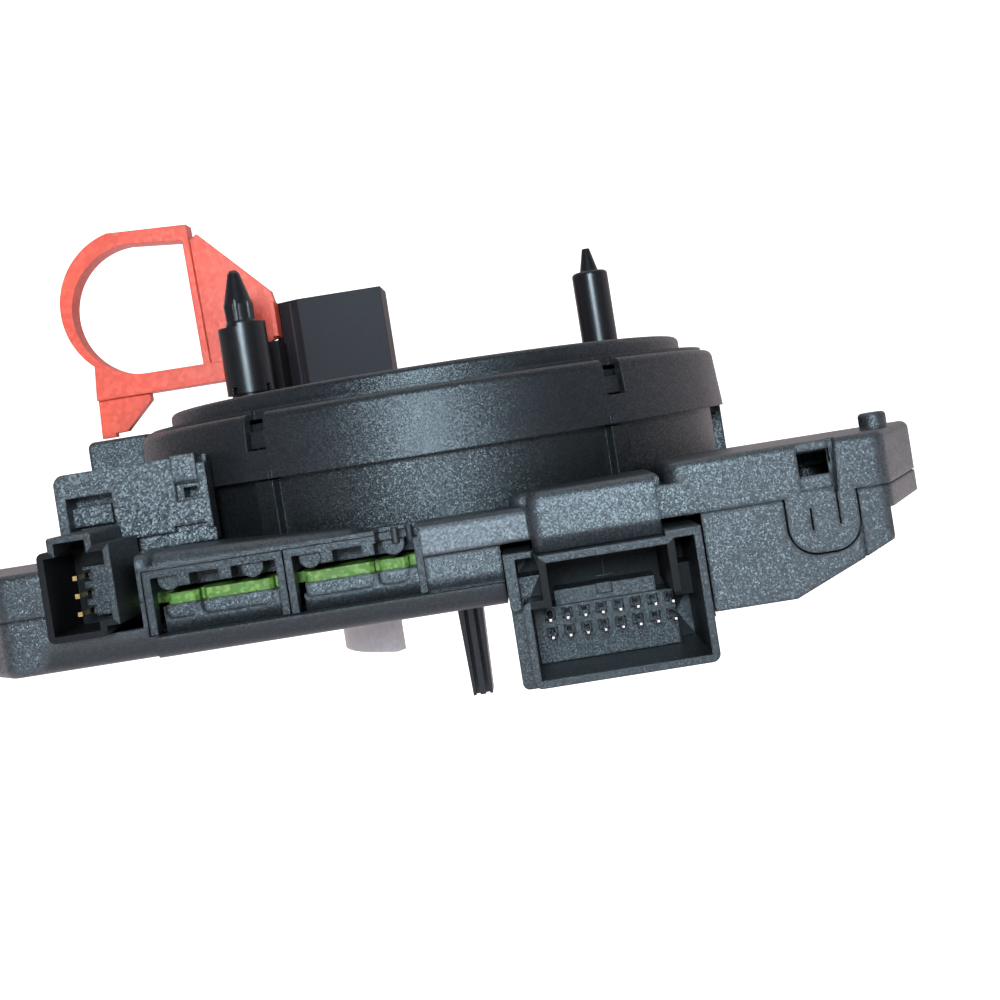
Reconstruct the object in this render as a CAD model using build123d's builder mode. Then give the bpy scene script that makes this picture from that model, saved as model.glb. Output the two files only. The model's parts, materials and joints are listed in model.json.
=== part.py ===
from build123d import *
import math
import os

# Steering column module: a ribbon cassette on a flat electronics housing.
# The origin is on the steering axis, level with the housing's back face.
# +Z points to the steering wheel, -Y is the side with the connectors.

os.makedirs("parts", exist_ok=True)

# Clearances that many pieces share
fit_gap = 0.05
touch_gap = 0.1
part_gap = 0.3
cut_over = 1.0
far = 200.0

# Steering shaft passage and rotor hub
bore_r = 20.0
hub_wall = 2.5
hub_drop = 2.0
journal_gap = 0.08
passage_gap = 0.5
dog_drop = 8.3
dog_span_deg = 47.0
dog_angle_deg = -142.5

# Housing heights and walls, from the back face up
wall = 2.0
floor_t = 2.0
seam_z = 8.3
deck_rise = 4.7
roof_t = 1.8
left_rise = 1.8
right_rise = 2.9
hump_rise = 2.1
edge_r = 1.2
seam_groove = 0.3
deck_z = seam_z + deck_rise
left_top_z = deck_z + left_rise
right_top_z = deck_z + right_rise
hump_top_z = deck_z + hump_rise

# Cassette
drum_r = 50.3
drum_wall = 1.8
drum_lift = 1.6
drum_floor_t = 1.6
split_rise = 9.6
drum_rise = 18.0
cover_gap = 0.3
cover_wall = 2.1
cover_draft = 0.7
cover_step = 1.8
cover_step_drop = 0.6
cover_rise = 2.2
cover_roof_t = 1.5
cover_edge_r = 1.3
wing_gap = 0.4
drum_floor_z = deck_z + drum_lift
split_z = deck_z + split_rise
drum_top_z = deck_z + drum_rise
cover_foot_r = drum_r + cover_gap + cover_wall
cover_head_r = cover_foot_r - cover_draft
cover_step_r = cover_head_r - cover_step
cover_top_z = drum_top_z + cover_rise
seat_r = cover_foot_r + wing_gap

# Clips round the cassette
clip_first_deg = -117.0
clip_step_deg = 63.5
clip_count = 6
clip_w = 3.4
clip_t = 3.2
hook_t = 2.6
hook_h = 2.6
window_w = 3.6
window_rise = 4.4
window_depth = 4.4
sill_w = 4.4
sill_t = 1.8
sill_h = 1.3

# Rotor disc
disc_inset = 3.8
disc_gap = 0.4
disc_rise = 2.7
disc_t = 2.8
disc_edge_r = 1.0
skirt_t = 2.0
skirt_drop = 2.8
sleeve_wall = 2.0
sleeve_foot_gap = 0.4
disc_mouth_gap = 0.6
disc_r = drum_r - disc_inset
disc_top_z = cover_top_z + disc_rise
hub_top_z = disc_top_z - disc_t
skirt_z = hub_top_z - skirt_drop

# Housing plan
front_y = -56.0
left_x = -78.0
right_x = 76.0
left_chamfer_x = -61.5
left_chamfer_y = -38.0
right_chamfer_x = 66.4
right_chamfer_y = -36.3
left_rear_y = 30.0
left_shoulder_x = -58.0
right_rear_y = 8.0
rear_margin = 1.1
rear_join = 0.66
plan_corner_r = 2.5
rear_r = cover_foot_r + rear_margin
rear_join_at = rear_r * rear_join

# Circuit board
board_t = 1.6
board_inset = 2.6
board_front_y = -46.5
board_shelf_y = -49.0
tongue_front_y = -51.0
tongues = [(-39.1, -34.5), (-33.8, -23.5), (-18.9, -8.6), (-7.9, -3.5)]
board_shelves = [(-39.1, -22.4), (-20.4, -2.2)]
board_z = seam_z - board_t
board_top_z = seam_z

# Step under the right end of the housing
right_step_x = 66.2
right_step_z = 4.9
right_floor_t = 1.5

# Transport lock and the rotor's guide for it
pin_inset = 13.9
lock_y = 20.0
lock_web_t = 2.0
lock_rim_t = 4.4
lock_slide_gap = 0.3
lock_foot_gap = 0.4
pin_x = disc_r - pin_inset
guide_left = -pin_x - 6.5
guide_w = 9.9
guide_rise = 12.7
guide_front_gap = 3.8
guide_wall = 1.1
slot_rise = 1.8
guide_right = guide_left + guide_w
guide_top = disc_top_z + guide_rise
slot_left = guide_left + guide_wall
slot_right = guide_right - guide_wall
slot_floor = disc_top_z + slot_rise

# Sixteen-way header
header_left = 12.2
header_step_x = 15.2
header_right = 38.2
header_bottom = -11.8
header_step_z = 0.3
header_top_drop = 1.9
header_channel_drop = 1.2
header_reach = 6.0
header_depth = 19.6
header_wall = 1.1
header_corner_r = 1.2
header_channel_w = 2.8
divider_low_z = -1.4
header_top = seam_z - header_top_drop
header_channel_top = seam_z - header_channel_drop
header_front_y = front_y - header_reach
header_back_y = header_front_y + header_depth
divider_x = header_right - 2 * header_wall - header_channel_w
channel_x = divider_x + header_wall

# Header pins: two rows on a square pitch, each bent up through the board
pin_pitch = 2.54
pin_size = 0.64
pin_columns = 8
pin_inset_x = 3.55
pin_row_drop = 3.95
pin_tip_y = -55.0
pin_block_y = -50.0
pin_point = 0.15
pin_stand = 0.6
pin_first_x = header_left + pin_inset_x
pin_top_row_z = header_step_z - pin_row_drop
pin_columns_x = [pin_first_x + i * pin_pitch for i in range(pin_columns)]
pin_bend_y = header_back_y + 1.8
pin_rows = [
    (pin_top_row_z, pin_bend_y),
    (pin_top_row_z - pin_pitch, pin_bend_y + pin_pitch),
]

# Small keyed socket and the channel beside it
plug_left = -53.7
plug_right = -43.5
plug_bottom = 4.6
plug_notch_x = -45.4
plug_notch_z = 6.0
plug_top = 17.4
plug_key_left = -52.0
plug_key_right = -45.8
plug_key_z = 19.3
plug_front_y = -60.0
plug_back_y = -46.6
plug_wall = 0.9
plug_corner_r = 0.9
plug_floor_t = 1.4
plug_channel_right = -41.6
plug_pin_x = -50.6
plug_pin_size = 0.64
plug_pin_rows = [7.7, 10.3, 12.9]

# Switch sockets
socket_left = -41.0
socket_mid = -20.6
socket_right = -0.7
socket_top_z = 12.4
socket_back_y = -46.7
socket_wall = 1.1
socket_beam = 1.1
socket_frame_t = 2.4
socket_set_back = 0.4
lip_left = -39.6
lip_right = 10.2
lip_z = 3.0
lip_y = -58.0

# Screws that hold the base to the cover
screw_places = [(-70.5, -30.0), (-70.5, 23.0), (60.5, -29.0), (60.5, 2.0)]
screw_r = 1.25
screw_head_r = 2.8
screw_head_t = 1.6
screw_sink = 0.4
screw_top_gap = 0.3
boss_r = 3.4
screw_end_z = deck_z - 1.2

hub_r = bore_r + hub_wall
passage_r = hub_r + passage_gap
shell_inner_r = drum_r - drum_wall
upright = (Align.CENTER, Align.CENTER, Align.MIN)
hanging = (Align.CENTER, Align.CENTER, Align.MAX)


def front_plane(y):
    # local x runs along +X and local y along +Z, the normal faces the connectors
    return Plane(origin=(0, y, 0), x_dir=(1, 0, 0), z_dir=(0, -1, 0))


def outline(points, mode=Mode.ADD):
    # closed face through corner points, for the sketch that is open
    Polygon(*points, align=None, mode=mode)


def rectangle(low, high, mode=Mode.ADD):
    # upright rectangle given by its lower left and upper right corners
    (x0, y0), (x1, y1) = low, high
    outline([(x0, y0), (x1, y0), (x1, y1), (x0, y1)], mode)


def box_between(low, high, mode=Mode.ADD):
    # a block given by its lowest and highest corners
    size = [top - bottom for bottom, top in zip(low, high)]
    with Locations(tuple((bottom + top) / 2 for bottom, top in zip(low, high))):
        Box(*size, mode=mode)


def at_angle(radius, angle):
    return (radius * math.cos(angle), radius * math.sin(angle))


def polar(radius, angle_deg):
    return at_angle(radius, math.radians(angle_deg))


def save(builder, name):
    builder.part.label = name
    export_step(builder.part, f"parts/{name}.step")


# Plan of the housing, shared by the base, the cover and the board
with BuildSketch() as housing_plan:
    outline([
        (left_chamfer_x, front_y),
        (right_chamfer_x, front_y),
        (right_x, right_chamfer_y),
        (right_x, right_rear_y),
        (rear_join_at, rear_join_at),
        (-rear_join_at, rear_join_at),
        (left_shoulder_x, left_rear_y),
        (left_x, left_rear_y),
        (left_x, left_chamfer_y),
    ])
    fillet(housing_plan.vertices(), plan_corner_r)
    Circle(rear_r)

with BuildSketch() as inner_plan:
    add(housing_plan.sketch)
    offset(amount=-wall)

with BuildSketch() as board_plan:
    add(housing_plan.sketch)
    offset(amount=-board_inset)

with BuildSketch() as seam_plan:
    add(housing_plan.sketch)
    offset(amount=-seam_groove)

# Lower block beside the header, with a slope to the right
block_left = header_right + 1.0
block_depth = 22.0
block_bottom = -6.0
slope_from_x = 51.0
block_points = [
    (block_left, floor_t),
    (block_left, block_bottom),
    (slope_from_x, block_bottom),
    (61.6, -1.6),
    (65.6, 0.2),
    (65.6, floor_t),
]

# Bay behind the header, where its pins rise to the board
bay_wall = 1.6
bay_bottom = -9.0
bay_back_y = front_y + block_depth

# Snap tongue of the cover on the right block, and the groove beside it
tongue_left = 51.3
tongue_right = 61.5
tongue_low_z = 0.0
tongue_t = 1.8
tongue_r = 4.0
tongue_gap = 0.3
groove_w = 0.35
groove_depth = 0.6

# Ledges that carry the board's tongues, with a pocket under each tongue
ledges = [(-39.2, -22.3), (-18.8, -1.5)]
ledge_y = -53.2
pocket_z = 4.8
pocket_depth = 1.9
pocket_r = 1.1

# Ribbed finger under the base
prong_x = 3.8
prong_y = -40.0
prong_top_w = 4.0
prong_tip_w = 3.0
prong_t = 5.0
prong_tip_z = -15.1
prong_groove_w = 0.6
prong_groove_x = 0.75
prong_groove_depth = 1.2
prong_front_y = prong_y - prong_t / 2

# Base housing
with BuildPart() as base_housing:
    with BuildSketch():
        add(housing_plan.sketch)
    extrude(amount=seam_z)
    fillet(base_housing.edges().group_by(Axis.Z)[0], edge_r)
    with BuildSketch(Plane.XY.offset(floor_t)):
        add(inner_plan.sketch)
    extrude(amount=seam_z - floor_t, mode=Mode.SUBTRACT)
    # shadow groove along the seam
    with BuildSketch(Plane.XY.offset(seam_z - seam_groove)):
        Rectangle(2 * far, 2 * far)
        add(seam_plan.sketch, mode=Mode.SUBTRACT)
    extrude(amount=seam_groove + cut_over, mode=Mode.SUBTRACT)
    # the right end steps up
    with BuildSketch(Plane.XY.offset(right_step_z)):
        add(inner_plan.sketch)
        rectangle((-far, -far), (right_step_x - wall, far), Mode.SUBTRACT)
    extrude(amount=right_floor_t)
    box_between(
        (right_step_x - wall, front_y + wall, floor_t - cut_over),
        (right_step_x, right_rear_y - wall, right_step_z + right_floor_t),
    )
    box_between((right_step_x, -far, -cut_over), (far, far, right_step_z), Mode.SUBTRACT)
    # collar round the shaft passage
    with BuildSketch(Plane.XY.offset(floor_t / 2)):
        Circle(passage_r + wall)
    extrude(amount=board_z - floor_t / 2 - part_gap)
    # lip under the switch sockets
    with BuildSketch(Plane.YZ.offset(lip_left)) as lip_profile:
        rectangle((lip_y, 0), (front_y + wall, lip_z))
        fillet(lip_profile.vertices().group_by(Axis.Y)[0].sort_by(Axis.X)[0], edge_r)
    extrude(amount=lip_right - lip_left)
    # lower block beside the header and the bay behind it
    with BuildSketch(front_plane(front_y)):
        outline(block_points)
    extrude(amount=-block_depth)
    box_between(
        (header_left - bay_wall, header_back_y + part_gap, bay_bottom),
        (block_left + bay_wall, bay_back_y, floor_t),
    )
    box_between(
        (header_left, header_back_y, bay_bottom + bay_wall),
        (header_right, bay_back_y - bay_wall, seam_z),
        Mode.SUBTRACT,
    )
    # screw bosses that also carry the board
    with Locations(*[(x, y, floor_t) for x, y in screw_places]):
        Cylinder(boss_r, board_z - floor_t, align=upright)
    # window of the switch sockets
    box_between(
        (socket_left, front_y - touch_gap, lip_z),
        (socket_right, front_y + wall + touch_gap, seam_z + cut_over),
        Mode.SUBTRACT,
    )
    for ledge_left, ledge_right in ledges:
        box_between((ledge_left, ledge_y, floor_t), (ledge_right, socket_back_y, board_z))
    with BuildSketch(front_plane(ledge_y - touch_gap)) as pockets:
        for pocket_left, pocket_right in tongues:
            rectangle((pocket_left, pocket_z), (pocket_right, seam_z))
        fillet(pockets.vertices().group_by(Axis.Y)[0], pocket_r)
    extrude(amount=-pocket_depth, mode=Mode.SUBTRACT)
    # openings for the header and the small plug
    box_between(
        (header_left - 2.0, header_front_y - cut_over, header_bottom - cut_over),
        (block_left, header_back_y + part_gap, seam_z + cut_over),
        Mode.SUBTRACT,
    )
    box_between(
        (plug_left - 0.2, plug_front_y, plug_bottom - 0.2),
        (plug_channel_right, plug_back_y + part_gap, seam_z + cut_over),
        Mode.SUBTRACT,
    )
    # room for the cover's snap tongue, with the groove beside it
    with BuildSketch(front_plane(front_y - touch_gap)) as tongue_room:
        rectangle(
            (tongue_left - tongue_gap, tongue_low_z - tongue_gap),
            (tongue_right + tongue_gap, seam_z + cut_over),
        )
        fillet(tongue_room.vertices().group_by(Axis.Y)[0], tongue_r + tongue_gap)
    extrude(amount=-(tongue_t + 0.5), mode=Mode.SUBTRACT)
    box_between(
        (tongue_right + tongue_gap - groove_w, front_y - cut_over, block_bottom),
        (tongue_right + tongue_gap, front_y + groove_depth, seam_z),
        Mode.SUBTRACT,
    )
    # shaft passage and screw holes
    with Locations((0, 0, -cut_over)):
        Cylinder(passage_r, seam_z + 2 * cut_over, align=upright, mode=Mode.SUBTRACT)
    with Locations(*[(x, y, 0) for x, y in screw_places]):
        Cylinder(screw_r + part_gap, 3 * seam_z, mode=Mode.SUBTRACT)
        Cylinder(screw_head_r + part_gap, screw_sink + screw_head_t, align=upright, mode=Mode.SUBTRACT)
    # ribbed finger that reaches down behind the connector
    with BuildSketch(front_plane(prong_front_y)):
        outline([
            (prong_x - prong_top_w / 2, floor_t / 4),
            (prong_x + prong_top_w / 2, floor_t / 4),
            (prong_x + prong_tip_w / 2, prong_tip_z),
            (prong_x - prong_tip_w / 2, prong_tip_z),
        ])
    extrude(amount=-prong_t)
    for groove_x in (prong_x - prong_groove_x, prong_x + prong_groove_x):
        box_between(
            (groove_x - prong_groove_w / 2, prong_front_y, prong_tip_z),
            (groove_x + prong_groove_w / 2, prong_front_y + prong_groove_depth, -cut_over),
            Mode.SUBTRACT,
        )
save(base_housing, "base_housing")

# Left wing of the cover: raised along the front
roof_left_x = -39.1
left_wing_back_y = -31.0
with BuildPart() as left_wing:
    with BuildSketch(Plane.XY.offset(seam_z)) as left_plan:
        add(housing_plan.sketch)
        rectangle((-far, -far), (roof_left_x, left_wing_back_y), Mode.INTERSECT)
        fillet(left_plan.vertices().sort_by_distance((roof_left_x, front_y))[0], plan_corner_r)
    extrude(amount=left_top_z - seam_z)
    fillet(left_wing.edges().group_by(Axis.Z)[-1], edge_r)

# Right wing of the cover
wing_left_x = 35.0
wing_hollow_x = 40.0
right_wing_back_y = -34.0
with BuildPart() as right_wing:
    with BuildSketch(Plane.XY.offset(seam_z)) as right_plan:
        add(housing_plan.sketch)
        rectangle((wing_left_x, -far), (far, right_wing_back_y), Mode.INTERSECT)
        fillet(right_plan.vertices().sort_by_distance((wing_left_x, front_y))[0], plan_corner_r)
    extrude(amount=right_top_z - seam_z)
    fillet(right_wing.edges().group_by(Axis.Z)[-1], edge_r)

# Hump over the header: a front block with an undercut band and a lower block behind it
hump_left = 14.8
hump_right = divider_x - touch_gap
hump_front_y = -60.2
hump_band_z = 8.75
hump_band_in = 1.0
hump_back_y = -44.0
hump_front_r = 1.6
hump_side_r = 1.9
hump_gap = 0.1
tail_left = 12.2
tail_right = 34.4
tail_front_y = -53.0
tail_drop = 0.2
tail_r = 2.4
with BuildPart() as header_hump:
    with BuildSketch(Plane.YZ.offset(hump_left)) as hump_profile:
        outline([
            (hump_front_y + hump_band_in, header_top + hump_gap),
            (hump_front_y, hump_band_z),
            (hump_front_y + 0.2, hump_top_z),
            (hump_back_y, hump_top_z),
            (hump_back_y, header_top + hump_gap),
        ])
        top_corner = hump_profile.vertices().sort_by_distance((hump_front_y, hump_top_z))[0]
        fillet(top_corner, hump_front_r)
    extrude(amount=hump_right - hump_left)
    hump_sides = header_hump.faces().filter_by(Axis.X)
    fillet(hump_sides.sort_by(Axis.X)[0].edges().sort_by(Axis.Y)[0:2], hump_side_r)

with BuildPart() as header_tail:
    with BuildSketch(Plane.XY.offset(seam_z + cut_over)) as tail_plan:
        rectangle((tail_left, tail_front_y), (tail_right, hump_back_y + cut_over))
        fillet(tail_plan.vertices().group_by(Axis.X)[0], tail_r)
    extrude(amount=hump_top_z - tail_drop - seam_z - cut_over)
    fillet(header_tail.edges().group_by(Axis.Z)[-1], edge_r)

# Rounded roof band over the switch sockets, and the smooth block to its right
band_right = -9.7
band_right_z = 13.9
band_depth = 14.0
band_front_r = 2.3
smooth_left = -1.0
smooth_right = 14.6
smooth_reach = 1.0
smooth_back_y = -50.0
smooth_r = 1.6
with BuildPart() as roof_band:
    with BuildSketch(front_plane(front_y)):
        outline([
            (roof_left_x, seam_z),
            (band_right, seam_z),
            (band_right, band_right_z),
            (roof_left_x, left_top_z),
        ])
    extrude(amount=-band_depth)
    band_front = roof_band.faces().sort_by(Axis.Y)[0]
    fillet(band_front.edges().sort_by(Axis.Z)[-1], band_front_r)
    band_end = roof_band.faces().sort_by(Axis.X)[-1]
    fillet(band_end.edges().sort_by(Axis.Z)[-1], edge_r)

with BuildPart() as smooth_block:
    with BuildSketch(Plane.YZ.offset(smooth_left)) as smooth_profile:
        rectangle((front_y - smooth_reach, seam_z), (smooth_back_y, deck_z))
        smooth_corners = smooth_profile.vertices().group_by(Axis.X)[0]
        fillet(smooth_corners.sort_by(Axis.Y)[-1], smooth_r)
        fillet(smooth_profile.vertices().group_by(Axis.X)[0].sort_by(Axis.Y)[0], edge_r / 2)
    extrude(amount=smooth_right - smooth_left)

# Pocket in the deck at the right end of the sockets, open to the top
deck_pocket_left = -7.2
deck_pocket_right = -1.2
deck_pocket_y = -51.6

# Window with its recess, V slot and slits on the snap tongue
catch_left = 53.9
catch_right = 58.6
catch_low_z = 11.0
catch_top_z = 14.6
catch_recess_z = 9.0
catch_recess = 0.5
slot_line_w = 0.3
slot_line_low_z = 3.7
slit_left = 54.6
slit_low_z = 3.3
slit_top_z = 6.5
v_slot_points = [
    (58.7, right_top_z + cut_over),
    (59.7, right_top_z + cut_over),
    (59.1, 8.2),
    (58.5, 8.2),
]

# Locating stud on the right wing
stud_x = 68.0
stud_y = -46.0
stud_r = 2.05
stud_h = 2.4
stud_edge_r = 0.6

# Measuring gears: their hub teeth give the mesh and so the hole in the deck
gear_module = 1.0
hub_teeth = 50
gear_a_teeth = 18
gear_b_teeth = 16
gear_backlash = 0.24
gear_addendum = 0.95
gear_dedendum = 1.2
pressure_deg = 20.0
centre_play = 0.15
gear_a_step = 9
gear_b_step = 16
gear_t = 2.6
gear_lift_gap = 1.2
hub_gear_extra = 1.0
spindle_r = 2.0
spindle_gap = 0.06
spindle_seat = 1.1
gear_end_gap = 0.4
gear_floor_t = 0.8
gear_sleeve_t = 1.4
magnet_r = 3.0
magnet_t = 1.3
magnet_sink = 0.2
deck_room = 1.9
gear_z = drum_floor_z - gear_lift_gap - gear_t
hub_gear_z = gear_z - hub_gear_extra * 0.6
gear_a_deg = gear_a_step * 360 / hub_teeth
gear_b_deg = gear_b_step * 360 / hub_teeth
gear_a_centre = polar(gear_module * (hub_teeth + gear_a_teeth) / 2 + centre_play, gear_a_deg)
gear_b_centre = polar(gear_module * (hub_teeth + gear_b_teeth) / 2 + centre_play, gear_b_deg)
deck_hole_r = gear_module * (hub_teeth / 2 + gear_a_teeth + 1) + deck_room

# Top cover: a deck under the cassette, two raised wings, the hump and the roof band
with BuildPart() as top_cover:
    with BuildSketch(Plane.XY.offset(seam_z)):
        add(housing_plan.sketch)
    extrude(amount=deck_rise)
    add(left_wing.part)
    add(right_wing.part)
    add(header_hump.part)
    add(header_tail.part)
    add(roof_band.part)
    add(smooth_block.part)
    # hollow under the deck, and up to each wing's own roof
    with BuildSketch(Plane.XY.offset(seam_z)):
        add(inner_plan.sketch)
    extrude(amount=deck_rise - roof_t, mode=Mode.SUBTRACT)
    with BuildSketch(Plane.XY.offset(seam_z)):
        add(inner_plan.sketch)
        rectangle((-far, -far), (roof_left_x - wall, left_wing_back_y - wall), Mode.INTERSECT)
        Circle(seat_r + roof_t, mode=Mode.SUBTRACT)
    extrude(amount=left_top_z - roof_t - seam_z, mode=Mode.SUBTRACT)
    with BuildSketch(Plane.XY.offset(seam_z)):
        add(inner_plan.sketch)
        rectangle((wing_hollow_x, -far), (far, right_wing_back_y - wall), Mode.INTERSECT)
        Circle(seat_r + roof_t, mode=Mode.SUBTRACT)
    extrude(amount=right_top_z - roof_t - seam_z, mode=Mode.SUBTRACT)
    # seat of the cassette and the hole for its gears
    with Locations((0, 0, deck_z)):
        Cylinder(seat_r, far, align=upright, mode=Mode.SUBTRACT)
    Cylinder(deck_hole_r, far, mode=Mode.SUBTRACT)
    # window of the switch sockets under the roof band, and the pocket beside the band
    box_between(
        (socket_left, front_y - cut_over, seam_z - cut_over),
        (socket_right, socket_back_y, socket_top_z),
        Mode.SUBTRACT,
    )
    box_between(
        (deck_pocket_left, front_y - 2 * cut_over, seam_z - cut_over),
        (deck_pocket_right, deck_pocket_y, deck_z + cut_over),
        Mode.SUBTRACT,
    )
    # room for the small plug, its channel and the bay behind the header
    box_between(
        (plug_left - 0.2, plug_front_y, seam_z - cut_over),
        (plug_channel_right, plug_back_y + part_gap, plug_key_z + cut_over),
        Mode.SUBTRACT,
    )
    box_between(
        (header_step_x, header_back_y + part_gap, seam_z - cut_over),
        (header_right - header_wall, bay_back_y, deck_z - roof_t),
        Mode.SUBTRACT,
    )
    # bosses that take the screws
    boss_top_z = deck_z - roof_t / 2
    with Locations(*[(x, y, boss_top_z) for x, y in screw_places]):
        Cylinder(boss_r, boss_top_z - board_top_z - touch_gap, align=hanging)
    with Locations(*[(x, y, 0) for x, y in screw_places]):
        Cylinder(screw_r + fit_gap, screw_end_z + screw_top_gap, align=upright, mode=Mode.SUBTRACT)
    # snap tongue over the right block
    with BuildSketch(front_plane(front_y)) as tongue_shape:
        rectangle((tongue_left, tongue_low_z), (tongue_right, seam_z + cut_over))
        fillet(tongue_shape.vertices().group_by(Axis.Y)[0], tongue_r)
    extrude(amount=-tongue_t)
    box_between(
        (catch_left, front_y - cut_over, catch_recess_z),
        (catch_right, front_y + catch_recess, right_top_z + cut_over),
        Mode.SUBTRACT,
    )
    box_between(
        (catch_left, front_y - cut_over, catch_low_z),
        (catch_right, front_y + 2 * wall, catch_top_z),
        Mode.SUBTRACT,
    )
    with BuildSketch(front_plane(front_y - cut_over)):
        outline(v_slot_points)
        rectangle((catch_right, slot_line_low_z), (catch_right + slot_line_w, seam_z))
        rectangle((slit_left, slit_low_z), (slit_left + slot_line_w, slit_top_z))
    extrude(amount=-(cut_over + tongue_t), mode=Mode.SUBTRACT)
    # locating stud on the right wing
    with BuildSketch(Plane.XY.offset(right_top_z - roof_t / 2)):
        with Locations((stud_x, stud_y)):
            Circle(stud_r)
    extrude(amount=roof_t / 2 + stud_h)
    fillet(top_cover.faces().sort_by(Axis.Z)[-1].edges(), stud_edge_r)
save(top_cover, "top_cover")

# Circuit board with the tongues that the switches plug on to
board_hole_r = passage_r + wall + 0.6
tongue_corner = 0.6
board_room_y = header_back_y + 1.2
with BuildPart() as circuit_board:
    with BuildSketch(Plane.XY.offset(board_z)) as board_shape:
        add(board_plan.sketch)
        rectangle((-far, -far), (far, board_front_y), Mode.SUBTRACT)
        for shelf_left, shelf_right in board_shelves:
            rectangle((shelf_left, board_shelf_y), (shelf_right, board_front_y + cut_over))
        for tongue_x0, tongue_x1 in tongues:
            rectangle((tongue_x0, tongue_front_y), (tongue_x1, board_shelf_y + cut_over))
        chamfer(board_shape.vertices().group_by(Axis.Y)[0], tongue_corner)
        rectangle((header_left - 2.0, -far), (block_left + cut_over, board_room_y), Mode.SUBTRACT)
        Circle(board_hole_r, mode=Mode.SUBTRACT)
        with Locations(*screw_places):
            Circle(screw_r + part_gap, mode=Mode.SUBTRACT)
        with Locations(*[(x, y) for x in pin_columns_x for _, y in pin_rows]):
            Rectangle(pin_size + 2 * touch_gap, pin_size + 2 * touch_gap, mode=Mode.SUBTRACT)
    extrude(amount=board_t)
save(circuit_board, "circuit_board")

chip_low = (-60.0, -26.0)
chip_w = 12.0
chip_t = 1.5
with BuildPart() as controller_chip:
    with Locations((chip_low[0] + chip_w / 2, chip_low[1] + chip_w / 2, board_top_z)):
        Box(chip_w, chip_w, chip_t, align=upright)
save(controller_chip, "controller_chip")

sensor_size = (5.0, 4.0, 0.9)
with BuildPart() as angle_sensor_chips:
    with Locations(*[(x, y, board_top_z) for x, y in (gear_a_centre, gear_b_centre)]):
        Box(*sensor_size, align=upright)
save(angle_sensor_chips, "angle_sensor_chips")

with BuildPart() as housing_screws:
    with Locations(*[(x, y, screw_sink) for x, y in screw_places]):
        Cylinder(screw_head_r, screw_head_t, align=upright)
        Cylinder(screw_r, screw_end_z - screw_sink, align=upright)
save(housing_screws, "housing_screws")

# Switch sockets: a frame with an inverted U bridge and two round contact noses
bridge_half = 3.9
bridge_leg = 1.8
bridge_low_z = 9.6
bridge_t = 4.4
nose_span = 6.05
nose_r = 1.6
nose_z = 10.7
nose_t = 4.6
nose_post = 1.1
rear_wall_t = 1.2
rear_wall_gap = 0.6


def switch_socket(left, right, bridge_x, nose_x):
    face_y = front_y + socket_set_back
    top_z = socket_top_z - touch_gap
    rear_y = socket_back_y - touch_gap
    with BuildPart() as socket:
        with BuildSketch(front_plane(face_y)):
            rectangle((left, lip_z + touch_gap), (right, top_z))
            rectangle(
                (left + socket_wall, lip_z),
                (right - socket_wall, top_z - socket_beam),
                Mode.SUBTRACT,
            )
        extrude(amount=-socket_frame_t)
        # top plate, rear wall and side walls over the board
        box_between((left + socket_wall, face_y, top_z - socket_beam), (right - socket_wall, rear_y, top_z))
        rear_low_z = board_top_z + rear_wall_gap
        box_between((left, rear_y - rear_wall_t, rear_low_z), (right, rear_y, top_z))
        for side_x in (left, right - socket_wall):
            box_between((side_x, face_y, rear_low_z), (side_x + socket_wall, rear_y, top_z))
        # bridge
        for leg in (bridge_x - bridge_half, bridge_x + bridge_half - bridge_leg):
            box_between((leg, face_y, bridge_low_z), (leg + bridge_leg, face_y + bridge_t, top_z))
        # noses on their posts
        for nose in (nose_x - nose_span, nose_x + nose_span):
            with BuildSketch(front_plane(face_y + 1.0)):
                with Locations((nose, nose_z)):
                    Circle(nose_r)
                rectangle((nose - nose_post / 2, nose_z), (nose + nose_post / 2, top_z))
            extrude(amount=-nose_t)
    return socket


bridges_x = (-32.1, -11.45)
noses_x = (-31.4, -10.9)
switch_socket_left = switch_socket(
    socket_left + touch_gap, socket_mid - touch_gap, bridges_x[0], noses_x[0]
)
save(switch_socket_left, "switch_socket_left")

# The right socket also opens to the pocket in the deck, where two round posts stand
stop_post_r = 0.55
stop_posts = [(-4.4, -54.6), (-2.4, -53.6)]
stop_post_low_z = nose_z
with switch_socket(
    socket_mid + touch_gap, socket_right - touch_gap, bridges_x[1], noses_x[1]
) as switch_socket_right:
    box_between(
        (deck_pocket_left, front_y, socket_top_z - touch_gap - socket_beam),
        (deck_pocket_right, deck_pocket_y, socket_top_z),
        Mode.SUBTRACT,
    )
    for x, y in stop_posts:
        with Locations((x, y, stop_post_low_z)):
            Cylinder(stop_post_r, deck_z - stop_post_low_z, align=upright)
save(switch_socket_right, "switch_socket_right")

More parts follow.
